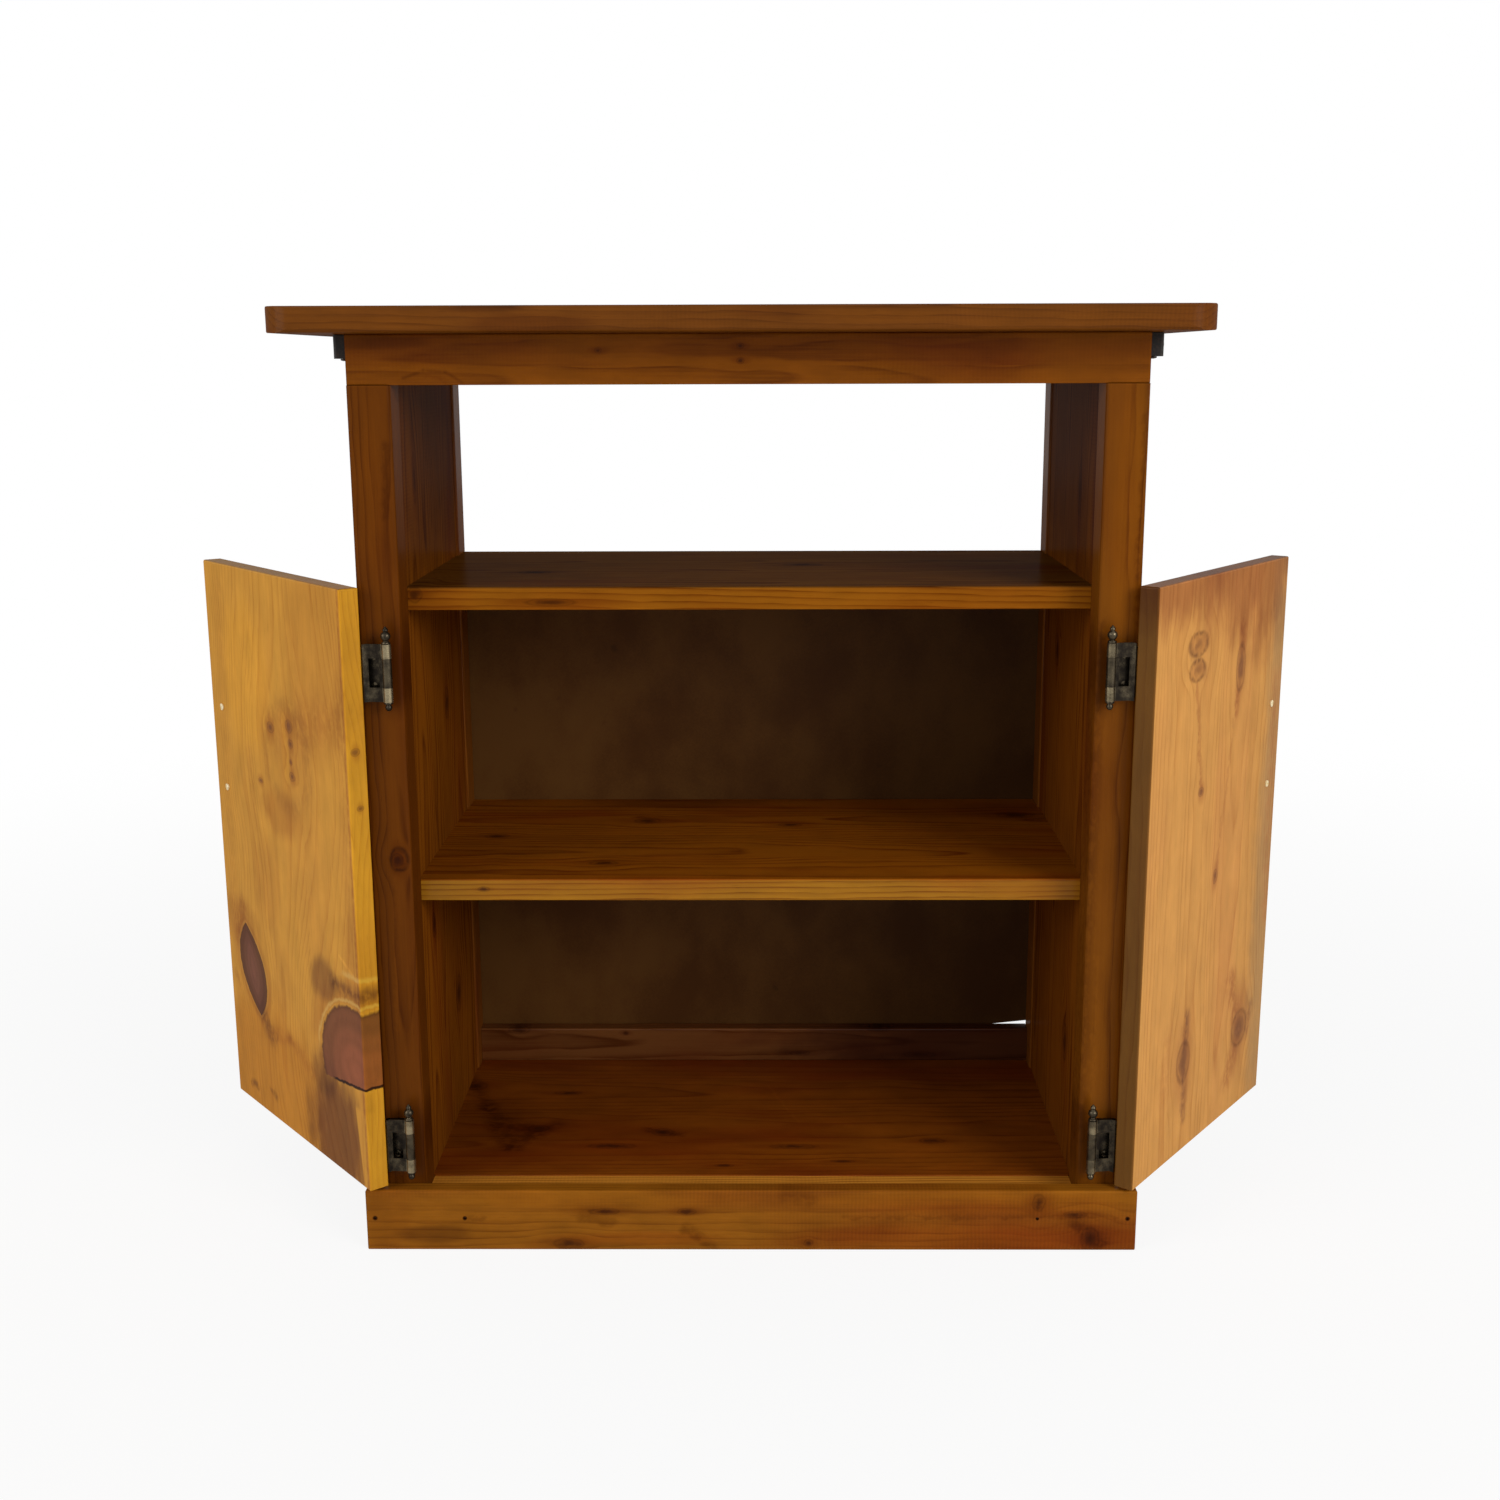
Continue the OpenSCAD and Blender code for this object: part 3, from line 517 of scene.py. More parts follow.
# All places are along the grain, then across it, in millimetres, and sizes are half sizes.
# Knots and patches may end with a half depth and a depth.
# A stroke has its two ends, half width, tint and share. A face has its axis, its end and its own tint.
boards = {
    "top_board": {
        "order": "xyz", "palette": "top", "stave": 96, "seed": 11, "tone": (0.87, 0.82, 0.58), "rings": 0.4,
        "cloud": 0.55, "varnish": 0.1, "chatter": 0.05,
        "knots": [(120, 60, 26, 20), (-250, 210, 30, 24), (310, 300, 24, 18), (20, 340, 18, 14),
            (260, 0, 16, 12)],
        "patches": [(-458, -40, 20, 200, "red", 0.8), (446, -40, 26, 200, "red", 0.8),
            (-245, -60, 45, 30, "umber", 0.45, 7, 1003), (-205, -60, 60, 30, "brown", 0.6, 12, 985),
            (-345, -60, 70, 30, "gold", 0.5, 9, 986), (130, -60, 70, 30, "gold", 0.5, 7, 993),
            (300, -60, 110, 30, "gold", 0.3, 9, 988), (20, -60, 40, 30, "brown", 0.35, 9, 998)],
    },
    "apron_front": {
        "order": "xzy", "palette": "frame", "stave": 26, "staveShift": 8, "seed": 3,
        "tone": (1.0, 0.95, 0.5), "rings": 0.45, "cloud": 0.6, "varnish": 0.1, "chatter": 0.03,
        "knots": [(-148, 962, 4, 3), (-7, 966, 4, 3), (-7, 952, 4, 3)],
        "strokes": [(-342, 936, -322, 943, 2.5, "dark", 0.6), (-322, 943, -300, 942, 2.5, "dark", 0.6),
            (-300, 942, -284, 932, 2.5, "dark", 0.6), (-318, 936, -300, 935, 3, "brown", 0.6)],
        "patches": [(60, 966, 240, 14, "brown", 0.5), (-380, 972, 60, 9, "dark", 0.5),
            (-345, 950, 40, 10, "gold", 0.4)],
    },
    "apron_back": {
        "order": "xzy", "palette": "frame", "stave": 50, "seed": 5,
        "knots": [(-210, 951, 16, 11), (150, 960, 12, 9)],
    },
    "apron_left": {
        "order": "yzx", "palette": "frame", "stave": 50, "seed": 7, "knots": [(140, 950, 14, 10)],
    },
    "apron_right": {
        "order": "yzx", "palette": "frame", "stave": 50, "seed": 8, "knots": [(260, 957, 16, 9)],
    },
    "post_front_left": {
        "order": "zxy", "palette": "frame", "stave": 60, "seed": 21, "tone": (0.8, 0.73, 0.42),
        "rings": 0.55, "varnish": 0.07, "knots": [(439, -371, 7, 6)], "swirls": [(439, -369, 13, 10)],
        "strokes": [(868, -362, 800, -366, 6, "dark", 0.5), (420, -372, 250, -380, 4, "pale", 0.3),
            (445, -360, 433, -360, 4, "pale", 0.6)],
        "patches": [(500, -358, 300, 7, "brown", 0.4), (815, -379, 90, 12, "gold", 0.5),
            # The two dark patches are painted shadow round the hinge barrels.
            (641, -364, 50, 15, "dark", 0.8), (121, -364, 50, 15, "dark", 0.8)],
    },
    "post_front_right": {
        "order": "zxy", "palette": "frame", "stave": 60, "seed": 24, "tone": (0.95, 0.94, 0.66),
        "rings": 0.55, "varnish": 0.07,
        "strokes": [(690, 362, 120, 360, 6, "dark", 0.5), (330, 372, 130, 370, 4, "pale", 0.3),
            (900, 396, 690, 398, 5, "dark", 0.5)],
        "patches": [(790, 384, 170, 18, "gold", 0.9), (520, 376, 150, 40, "brown", 0.3),
            # The two dark patches are painted shadow round the hinge barrels.
            (641, 364, 50, 15, "dark", 0.8), (121, 364, 50, 15, "dark", 0.8)],
    },
    "post_rear_left": {
        "order": "zxy", "palette": "frame", "stave": 60, "seed": 27,
        "knots": [(850, -380, 14, 10), (330, -388, 12, 9)],
    },
    "post_rear_right": {
        "order": "zxy", "palette": "frame", "stave": 60, "seed": 29,
        "knots": [(812, 378, 16, 9), (520, 390, 12, 9)],
    },
    "side_panel_left": {
        "order": "zyx", "palette": "frame", "stave": 101, "seed": 31, "varnish": 0.03,
        "tone": (1.0, 0.96, 0.6), "chatter": 0.05,
        "knots": [(830, 120, 26, 10), (200, 250, 22, 18), (560, 250, 18, 14), (330, 120, 14, 10)],
        # The grey patch over the upper part is painted sheen.
        "patches": [(300, 100, 200, 60, "gold", 0.4), (850, 200, 150, 400, "grey", 0.95)],
    },
    "side_panel_right": {
        "order": "zyx", "palette": "frame", "stave": 101, "seed": 35, "varnish": 0.03,
        "tone": (0.95, 0.9, 0.6), "chatter": 0.05,
        "knots": [(815, 150, 28, 11), (620, 260, 18, 14), (190, 120, 22, 14)],
        # The grey patch over the upper part is painted sheen.
        "patches": [(850, 200, 150, 400, "grey", 0.95)],
    },
    "shelf_upper": {
        "order": "xyz", "palette": "shelf", "stave": 88, "seed": 41, "varnish": 0.02,
        # The top face's tint is painted shade and sheen.
        "tone": (0.9, 0.86, 0.6), "faces": [(2, "high", (0.53, 0.58, 1.2))], "cloud": 0.4,
        "knots": [(-349, 50, 8, 40, 8, 714), (-207, 50, 26, 40, 4, 706), (60, 250, 22, 16),
            (-240, 180, 18, 14)],
        "patches": [(-330, 50, 60, 30, "red", 0.5), (250, 50, 160, 30, "red", 0.35)],
    },
    "shelf_middle": {
        "order": "xyz", "palette": "shelf", "stave": 88, "seed": 44, "tone": (1.02, 1.1, 0.9),
        # The top face's tint is painted shade.
        "faces": [(2, "high", (0.74, 0.5, 0.3))], "cloud": 0.4,
        "knots": [(-288, 50, 6, 40, 3, 394), (-127, 292, 16, 12), (-164, 112, 16, 9), (-300, 224, 14, 10),
            (46, 273, 14, 9), (323, 318, 22, 14)],
        # The dark patch along the rear edge is painted shadow.
        "patches": [(-95, 380, 130, 36, "dark", 0.7), (300, 330, 80, 60, "brown", 0.5)],
    },
    "bottom_board": {
        "order": "xyz", "palette": "shelf", "stave": 87, "seed": 47, "tone": (0.8, 0.66, 0.4), "cloud": 0.6,
        "rings": 0.55,
        "knots": [(-352, 298, 16, 12), (-106, 165, 13, 10), (-163, 128, 28, 7), (48, 127, 26, 6),
            (-231, 277, 16, 6), (211, 142, 15, 7), (104, 89, 13, 4), (-31, 78, 11, 4), (-255, 175, 13, 8)],
        "strokes": [(-360, 321, -324, 233, 14, "dark", 0.8), (-324, 233, -282, 126, 18, "dark", 0.85),
            (-282, 126, -236, 190, 14, "dark", 0.7), (-300, 200, -262, 160, 24, "dark", 0.6),
            (-124, 172, -88, 158, 9, "dark", 0.9), (18, 300, 55, 192, 3, "pale", 0.3)],
        "patches": [(-320, 190, 60, 90, "dark", 0.35)],
    },
    "bottom_front_rail": {
        "order": "xzy", "palette": "plinth", "stave": 60, "seed": 51, "tone": (1.4, 1.5, 1.7),
        "chatter": 0.05, "knots": [(60, 45, 14, 8)],
    },
    "rear_bottom_rail": {
        "order": "xzy", "palette": "shelf", "stave": 60, "seed": 53, "tone": (0.74, 0.72, 1.3),
        "varnish": 0.35, "patches": [(330, 80, 330, 90, "umber", 0.8)],
        "knots": [(-306, 99, 14, 5), (-167, 95, 4, 3), (60, 67, 13, 3), (216, 65, 22, 4), (163, 100, 14, 3)],
    },
    "side_rail_left": {
        "order": "yzx", "palette": "plinth", "stave": 80, "seed": 55, "knots": [(180, 40, 16, 10)],
    },
    "side_rail_right": {
        "order": "yzx", "palette": "plinth", "stave": 80, "seed": 56, "knots": [(260, 30, 16, 10)],
    },
    "plinth_front": {
        "order": "xzy", "palette": "plinth", "stave": 90, "seed": 61, "tone": (0.97, 0.96, 0.7),
        "rings": 0.45, "cloud": 0.7, "varnish": 0.1, "chatter": 0.07,
        "knots": [(-160, 46, 17, 4), (-70, 46, 10, 4), (-199, 8, 16, 6), (313, 57, 7, 10), (353, 43, 12, 4),
            (63, 9, 5, 4), (370, 14, 10, 14)],
        "strokes": [(-70, 27, -46, 6, 8, "dark", 0.7), (-184, 38, -150, 34, 7, "dark", 0.5),
            (36, 66, 66, 62, 9, "dark", 0.5), (354, 32, 380, 8, 12, "umber", 0.7),
            (-308, 38, -290, 38, 4, "dark", 0.5), (100, 40, 400, 40, 3, "dark", 0.4)],
        "nailHoles": [(-410, 38, 3.2), (-312, 38, 2.8), (312, 38, 2.2), (410, 38, 3.0)],
        "patches": [(240, 58, 190, 16, "gold", 0.75), (-170, 60, 160, 14, "gold", 0.5),
            (-345, 18, 40, 14, "umber", 0.5), (250, 14, 200, 18, "red", 0.7), (-120, 14, 90, 9, "red", 0.5),
            (-395, 37, 26, 60, "brown", 0.35)],
    },
    "plinth_left": {
        "order": "yzx", "palette": "plinth", "stave": 90, "seed": 63,
        "knots": [(120, 30, 18, 12), (300, 52, 12, 8)],
    },
    "plinth_right": {
        "order": "yzx", "palette": "plinth", "stave": 90, "seed": 65,
        "knots": [(90, 50, 12, 8), (280, 28, 20, 13)],
    },
    "door_left": {
        "order": "zxy", "palette": "leftDoor", "knotLook": "door", "stave": 117, "seed": 71,
        "staveTone": 0.08, "tone": (1.0, 0.99, 0.84), "faces": [(1, "low", (1.0, 1.0, 0.42))],
        "cloud": 0.45, "rings": 0.38, "blush": 0.15, "wear": 0.08,
        "knots": [(557, 204, 6, 9), (566, 155, 7, 9), (547, 153, 5, 6), (526, 155, 3, 4), (510, 154, 5, 7),
            (490, 240, 3, 6), (560, 17, 4, 9, 5, 32), (500, 17, 3, 5, 4, 30)],
        "swirls": [(530, 165, 62, 60)], "swirlShare": 0.25,
        "greatKnots": [
            {"at": (249, 298), "half": (55, 36), "lean": 0.27, "pointed": 0.75, "heart": (110, 66, 54),
             "rim": (84, 48, 34), "line": (200, 150, 80), "lineShare": 0.25},
            {"at": (206, 34), "half": (74, 86), "lean": 0.0, "heart": (142, 78, 54), "rim": (112, 64, 42),
             "line": (214, 170, 92), "lineShare": 0.6, "crack": (-0.13, 192.5)},
        ],
        "strokes": [(204, 282, 178, 258, 18, "umber", 0.8), (181, 256, 190, 206, 12, "brown", 0.6),
            (190, 206, 168, 142, 12, "brown", 0.6), (96, 326, 98, 308, 6, "umber", 0.7),
            (106, 268, 101, 256, 6, "umber", 0.6), (590, 46, 552, 200, 34, "brown", 0.6),
            # The first stroke here, along the hinge-side arris, is painted shade.
            (740, 19.5, 60, 19.5, 2.9, "brown", 1.0), (520, 270, 430, 262, 12, "brown", 0.35),
            (294, 80, 296, 12, 12, "umber", 0.85), (330, 60, 308, 12, 2.9, "pale", 0.5),
            (318, 322, 285, 334, 18, "brown", 0.8), (230, 355, 218, 340, 6, "brown", 0.6),
            (700, 330, 300, 345, 16, "brown", 0.25), (640, 30, 330, 34, 10, "brown", 0.3)],
        "patches": [(655, 75, 130, 80, "brown", 0.4), (112, 84, 84, 76, "umber", 1.0),
            (460, 188, 30, 52, "brown", 0.6), (180, 118, 30, 30, "umber", 0.6),
            (605, 265, 90, 70, "gold", 0.75), (535, 168, 42, 10, "gold", 0.7),
            (290, 104, 26, 34, "umber", 0.7), (120, 260, 110, 170, "amber", 0.8),
            (370, 240, 60, 40, "brown", 0.35), (300, 330, 34, 60, "brown", 0.5),
            (330, 28, 60, 24, "brown", 0.4), (262, 215, 50, 26, "brown", 0.25)],
        "wedge": (164, 41, 0.14),
    },
    "door_right": {
        "order": "zxy", "palette": "rightDoor", "knotLook": "door", "stave": 88, "staveShift": 4,
        "seed": 77, "staveTone": 0.08, "faces": [(1, "low", (0.24, 0.21, 0.14))], "cloud": 0.4,
        "rings": 0.4, "blush": 0.25, "tone": (0.98, 0.98, 0.97),
        "knots": [(616, 239, 27, 12), (492, 146, 5, 7), (384, 198, 8, 6), (182, 135, 24, 17),
            (172, 296, 22, 22)],
        "swirls": [(658, 120, 13, 24), (630, 120, 12, 20)],
        "strokes": [(616, 121, 496, 146, 5, "brown", 0.8), (662, 241, 640, 240, 9, "brown", 0.9),
            (592, 236, 568, 233, 9, "brown", 0.8), (583, 233, 392, 201, 5, "brown", 0.45),
            (236, 141, 196, 138, 9, "umber", 0.7), (168, 138, 114, 142, 9, "umber", 0.65),
            (242, 266, 190, 286, 20, "brown", 0.95), (156, 290, 118, 268, 18, "brown", 0.9),
            (220, 92, 160, 92, 22, "brown", 0.4), (160, 320, 190, 330, 12, "umber", 0.5),
            (655, 100, 625, 140, 10, "umber", 0.4), (590, 350, 300, 360, 18, "red", 0.5)],
        "patches": [(748, 60, 66, 140, "brown", 0.95), (755, 270, 118, 140, "brown", 0.95),
            (770, 190, 110, 400, "brown", 0.45), (400, 366, 440, 50, "mauve", 1.0),
            (640, 300, 40, 40, "brown", 0.4)],
    },
}

for name, board in boards.items():
    place = places[name.split("_")[1]] if name.startswith("door_") else places["carcass"]
    wood = Pine(name, board, place)
    wood.bendGrain()
    wood.growRings()
    wood.stainAndShadePatches()
    wood.drawStrokes()
    wood.setKnots()
    wood.setGreatKnots()
    wood.finishEdges()
    assign(name, wood.varnish())
print("wood finished:", len(boards), "boards")


# Plain finishes: hardboard back, black blocks, old brass, screws


def ownGrain(finish, place, stretch, seed, detail=3.0):
    own = finish.ownPlace(place)
    return own, finish.noise(own, stretch, seed, detail)


hardboard = {
    "pale": (103, 67, 28),
    "dark": (82, 48, 17),
    "spot": (44, 22, 8),
    "mottle": (0.009, 0.006, 0.006),  # waves in a millimetre along each axis
    "speckle": (0.5, 0.5, 0.5),
    "stain": (0.03, 0.03, 0.03),
    "paintedShadeRightward": (-250, 330, 1.0, 0.6),  # painted shade: between these two places it darkens from and to this share
    "roughness": 0.6,
    "bump": 0.2,
    "bumpDepth": 0.0004,
}


def backBoard():
    finish = Finish("hardboard")
    own, mottle = ownGrain(finish, places["carcass"], hardboard["mottle"], 5)
    fine = finish.noise(own, hardboard["speckle"], 6, 3.0)
    tone = mottle * 0.8 + fine * 0.2
    colour = finish.mix(finish.fade(tone, 0.36, 0.66), paint(*hardboard["dark"]), paint(*hardboard["pale"]))
    stain = finish.fade(finish.noise(own, hardboard["stain"], 9), 0.7, 0.78)
    colour = finish.mix(stain * 0.35, colour, paint(*hardboard["spot"]))
    # painted shade, darker towards the right
    colour = finish.vector("SCALE", colour, finish.fade(finish.split(own)[0], *hardboard["paintedShadeRightward"]))
    roughness = (fine - 0.5) * 0.2 + hardboard["roughness"]
    constants = {"bump": hardboard["bump"], "Specular IOR Level": 0.1}
    return finish.surface(colour, roughness, fine, constants, hardboard["bumpDepth"])


block = {
    "dark": (26, 20, 17),
    "pale": (48, 36, 28),
    "streak": (0.4, 0.03, 0.4),
    "roughness": 0.42,
    "bump": 0.3,
    "bumpDepth": 0.0003,
}


def blackBlock():
    finish = Finish("block black")
    streak = ownGrain(finish, places["carcass"], block["streak"], 2)[1]
    colour = finish.mix(finish.fade(streak, 0.4, 0.7), paint(*block["dark"]), paint(*block["pale"]))
    roughness = streak * 0.25 + block["roughness"]
    constants = {"bump": block["bump"], "Specular IOR Level": 0.3}
    return finish.surface(colour, roughness, streak, constants, block["bumpDepth"])


brass = {
    # cream is handled brass with a painted highlight on it
    "cream": (156, 142, 112),
    "mid": (90, 80, 62),
    "dark": (32, 26, 20),
    "patina": (0.09, 0.09, 0.09),
    "speckle": (0.9, 0.9, 0.9),
    "metallic": 0.85,
    "roughness": 0.3,
    "contrast": 1.2,
    "barrel": 5.3,  # its radius in millimetres
    # barrel brightness stands for handling and painted highlight; the right door leaf's lower value is
    # painted shade
    "pin": (0.3, 0.3),  # how bright on the barrel, and further out
    "postLeaf": {"left": (0.34, 0.12), "right": (0.34, 0.12)},
    "doorLeaf": {"left": (0.82, 0.2), "right": (0.6, 0.2)},
    "bump": 0.25,
    "bumpDepth": 0.0002,
}


def oldBrass(name, side, shades, seed):  # the barrel is bright from handling and from painted highlight, the leaf stays dark
    barrelWearAndHighlight, leafShade = shades
    finish = Finish(name)
    own, patina = ownGrain(finish, places[side], brass["patina"], seed, 4.0)
    fine = finish.noise(own, brass["speckle"], seed + 1)
    x, y = finish.split(own)[:2]
    barrel = finish.drop(length(x, y), brass["barrel"] - 0.1, brass["barrel"] + 0.3)
    wear = patina + (fine - 0.5) * 0.3 - 0.5
    polishAndHighlight = barrel * (barrelWearAndHighlight - leafShade) + leafShade + wear * brass["contrast"]
    colour = finish.mix(finish.fade(polishAndHighlight, 0.0, 0.55), paint(*brass["dark"]), paint(*brass["mid"]))
    colour = finish.mix(finish.fade(polishAndHighlight, 0.5, 1.0), colour, paint(*brass["cream"]))
    roughness = wear * -0.3 + brass["roughness"]
    constants = {"bump": brass["bump"]}
    return finish.surface(colour, roughness, fine, constants, brass["bumpDepth"], brass["metallic"])


steels = {
    # the screw steel's near-white colour is a painted glint on the handle screws
    "screw steel with painted glint": {"dark": (232, 208, 150), "pale": (255, 246, 214), "metallic": 0.3, "seed": 4},
    "dark steel": {"dark": (30, 24, 20), "pale": (70, 58, 48), "metallic": 0.9, "seed": 8},
    "both": {"patina": (0.3, 0.3, 0.3), "roughness": 0.22, "bump": 0.2, "bumpDepth": 0.0001},
}


def steel(name):
    look = {**steels["both"], **steels[name]}
    finish = Finish(name)
    patina = ownGrain(finish, places["carcass"], look["patina"], look["seed"])[1]
    colour = finish.mix(finish.fade(patina, 0.35, 0.7), paint(*look["dark"]), paint(*look["pale"]))
    roughness = patina * 0.3 + look["roughness"]
    constants = {"bump": look["bump"]}
    return finish.surface(colour, roughness, patina, constants, look["bumpDepth"], look["metallic"])


dowel = {
    "pale": (196, 150, 92),
    "dark": (160, 112, 60),
    "grain": (0.6, 0.6, 0.03),
    "roughness": 0.5,
    "bump": 0.2,
    "bumpDepth": 0.0002,
}


def dowelWood():
    finish = Finish("dowel")
    grain = ownGrain(finish, places["carcass"], dowel["grain"], 12)[1]
    colour = finish.mix(grain, paint(*dowel["pale"]), paint(*dowel["dark"]))
    roughness = grain * 0.2 + dowel["roughness"]
    return finish.surface(colour, roughness, grain, {"bump": dowel["bump"]}, dowel["bumpDepth"])


darkBrass = oldBrass("dark brass", "carcass", brass["pin"], 3)
# handle screws: their brightness is a painted glint
paintedGlintSteel = steel("screw steel with painted glint")
darkSteel = steel("dark steel")

assign("back_panel", backBoard())
assign("corner_blocks", blackBlock())
for side in ("left", "right"):
    knuckles = oldBrass("post leaf brass " + side, side, brass["postLeaf"][side], 5)
    # the door leaf brass carries painted highlight, and painted shade on the right door
    wearAndPaintedLight = oldBrass("door leaf brass " + side, side, brass["doorLeaf"][side], 6)
    for level in ("upper", "lower"):
        assign("post_leaf_" + level + "_" + side, knuckles)
        assign("door_leaf_" + level + "_" + side, wearAndPaintedLight)
assign("apron_dowels", dowelWood())
print("metals and plain finishes done")

# Geometry Nodes: screws, nails, turned pins and bow handles

shapes = {
    "weld": 1e-6,  # metres between two points that are one
    "headDepth": 0.0002,  # metres of a fastener's end that count as its face
    "middle": 0.2,  # metres from the front to the cabinet's middle, which heads face away from
    "fastenerCrease": 0.6,  # radians
    "turnedCrease": 0.7,
}


class Pattern(Maker):  # one tree with named inputs
    def __init__(self, name, inputs):
        self.tree = bpy.data.node_groups.new(name, "GeometryNodeTree")
        sockets = self.tree.interface
        sockets.new_socket("Geometry", in_out="INPUT", socket_type="NodeSocketGeometry")
        sockets.new_socket("Geometry", in_out="OUTPUT", socket_type="NodeSocketGeometry")
        for key, value in inputs.items():
            kind = "NodeSocketInt" if isinstance(value, int) else "NodeSocketFloat"
            sockets.new_socket(key, in_out="INPUT", socket_type=kind).default_value = value
        sockets.new_socket("Finish", in_out="INPUT", socket_type="NodeSocketMaterial")
        self.enter = self.tree.nodes.new("NodeGroupInput")
        self.leave = self.tree.nodes.new("NodeGroupOutput")

    def given(self, name):
        return Amount(self, self.enter.outputs[name])

    def attribute(self, name, kind="FLOAT"):
        return self.add("GeometryNodeInputNamedAttribute", {"data_type": kind}, {0: name})

    def smooth(self, shape, limit):  # smooth faces, sharp where two meet at more than the limit
        shape = self.add("GeometryNodeSetShadeSmooth", {"domain": "FACE"}, {0: shape, 2: True})
        gentle = self.join("LESS_THAN", self.add("GeometryNodeInputMeshEdgeAngle"), limit)
        return self.add("GeometryNodeSetShadeSmooth", {"domain": "EDGE"}, {0: shape, 2: gentle})

    def close(self, shape):
        whole = self.add("GeometryNodeRealizeInstances", {}, {0: shape})
        whole = self.add("GeometryNodeSetMaterial", {}, {0: whole, 2: self.given("Finish")})
        self.link(whole, self.leave.inputs[0])
        return self.tree


def fastenerTree(slots):  # a domed head with no slot, one slot or a cross, and its shank, at every point
    sizes = {
        "Head Radius": 0.0035, "Head Height": 0.002, "Dome": 0.0005, "Foot Taper": 0.0,
        "Slot Width": 0.0009, "Slot Depth": 0.0009, "Slot Length": 0.008,
        "Shank Radius": 0.0015, "Shank Length": 0.01,
    }
    tree = Pattern("fastener %d" % slots, sizes)
    radius, height, dome = [tree.given(key) for key in ("Head Radius", "Head Height", "Dome")]
    values = {"Vertices": 28, "Side Segments": 1, "Fill Segments": 4, "Radius": radius, "Depth": height}
    head = tree.add("GeometryNodeMeshCylinder", {"fill_type": "TRIANGLE_FAN"}, values)
    x, y, z = tree.split(tree.add("GeometryNodeInputPosition"))
    upper = tree.join("GREATER_THAN", z, 0.0)
    share = (x * x + y * y) / (radius * radius)
    narrow = 1 - (1 - upper) * tree.given("Foot Taper")
    lifted = z - height * 0.5 + (1 - share) * dome * upper
    place = tree.add("ShaderNodeCombineXYZ", {}, {0: x * narrow, 1: y * narrow, 2: lifted})
    head = tree.add("GeometryNodeSetPosition", {}, {0: head, "Position": place})
    for number in range(slots):
        long, wide, deep = [tree.given("Slot " + key) for key in ("Length", "Width", "Depth")]
        size = tree.add("ShaderNodeCombineXYZ", {}, {number: long, 1 - number: wide, 2: deep * 2})
        bar = tree.add("GeometryNodeMeshCube", {}, {0: size})
        crest = tree.add("ShaderNodeCombineXYZ", {}, {2: dome})
        bar = tree.add("GeometryNodeTransform", {}, {0: bar, "Translation": crest})
        cut = tree.add("GeometryNodeMeshBoolean", {"operation": "DIFFERENCE", "solver": "EXACT"}, {0: head})
        tree.link(bar, cut.socket.node.inputs[1])
        head = cut
    reach = tree.given("Shank Length")
    values = {"Vertices": 12, "Radius": tree.given("Shank Radius"), "Depth": reach}
    shank = tree.add("GeometryNodeMeshCylinder", {}, values)
    below = tree.add("ShaderNodeCombineXYZ", {}, {2: reach * -0.5 - height * 0.8})
    shank = tree.add("GeometryNodeTransform", {}, {0: shank, "Translation": below})
    whole = tree.add("GeometryNodeJoinGeometry", {}, {0: head})
    tree.link(shank, whole.socket.node.inputs[0])
    whole = tree.smooth(whole, shapes["fastenerCrease"])
    facing = tree.attribute("facing", "FLOAT_VECTOR")
    turn = tree.add("FunctionNodeAlignRotationToVector", {"axis": "Z"}, {"Vector": facing})
    roll = tree.attribute("roll")
    spin = tree.add("FunctionNodeAxisAngleToRotation", {}, {"Axis": (0, 0, 1), "Angle": roll})
    values = {"Rotation": turn, "Rotate By": spin}
    turn = tree.add("FunctionNodeRotateRotation", {"rotation_space": "LOCAL"}, values)
    values = {"Points": tree.given("Geometry"), "Instance": whole, "Rotation": turn}
    return tree.close(tree.add("GeometryNodeInstanceOnPoints", {}, values))


def turnedTree():  # a round section of the girth that each point gives, along every chain of points
    tree = Pattern("turned", {"Facets": 32, "Girth Share": 1.0})
    path = tree.add("GeometryNodeMeshToCurve", {}, {0: tree.given("Geometry")})
    values = {"Resolution": tree.given("Facets"), "Radius": 1.0}
    ring = tree.add("GeometryNodeCurvePrimitiveCircle", {}, values)
    girth = tree.attribute("girth") * tree.given("Girth Share")
    tube = tree.add("GeometryNodeCurveToMesh", {}, {0: path, 1: ring, "Scale": girth, "Fill Caps": True})
    return tree.close(tree.smooth(tube, shapes["turnedCrease"]))


def pointMesh(name, points, chains, numbers, vectors=None):  # in metres, with named numbers and vectors
    mesh = bpy.data.meshes.new(name)
    links = [(start + i, start + i + 1) for start, count in chains for i in range(count - 1)]
    mesh.from_pydata([tuple(point) for point in points], links, [])
    for key, values in numbers.items():
        mesh.attributes.new(key, "FLOAT", "POINT").data.foreach_set("value", values)
    for key, values in (vectors or {}).items():
        flat = [part for value in values for part in value]
        mesh.attributes.new(key, "FLOAT_VECTOR", "POINT").data.foreach_set("vector", flat)
    return mesh


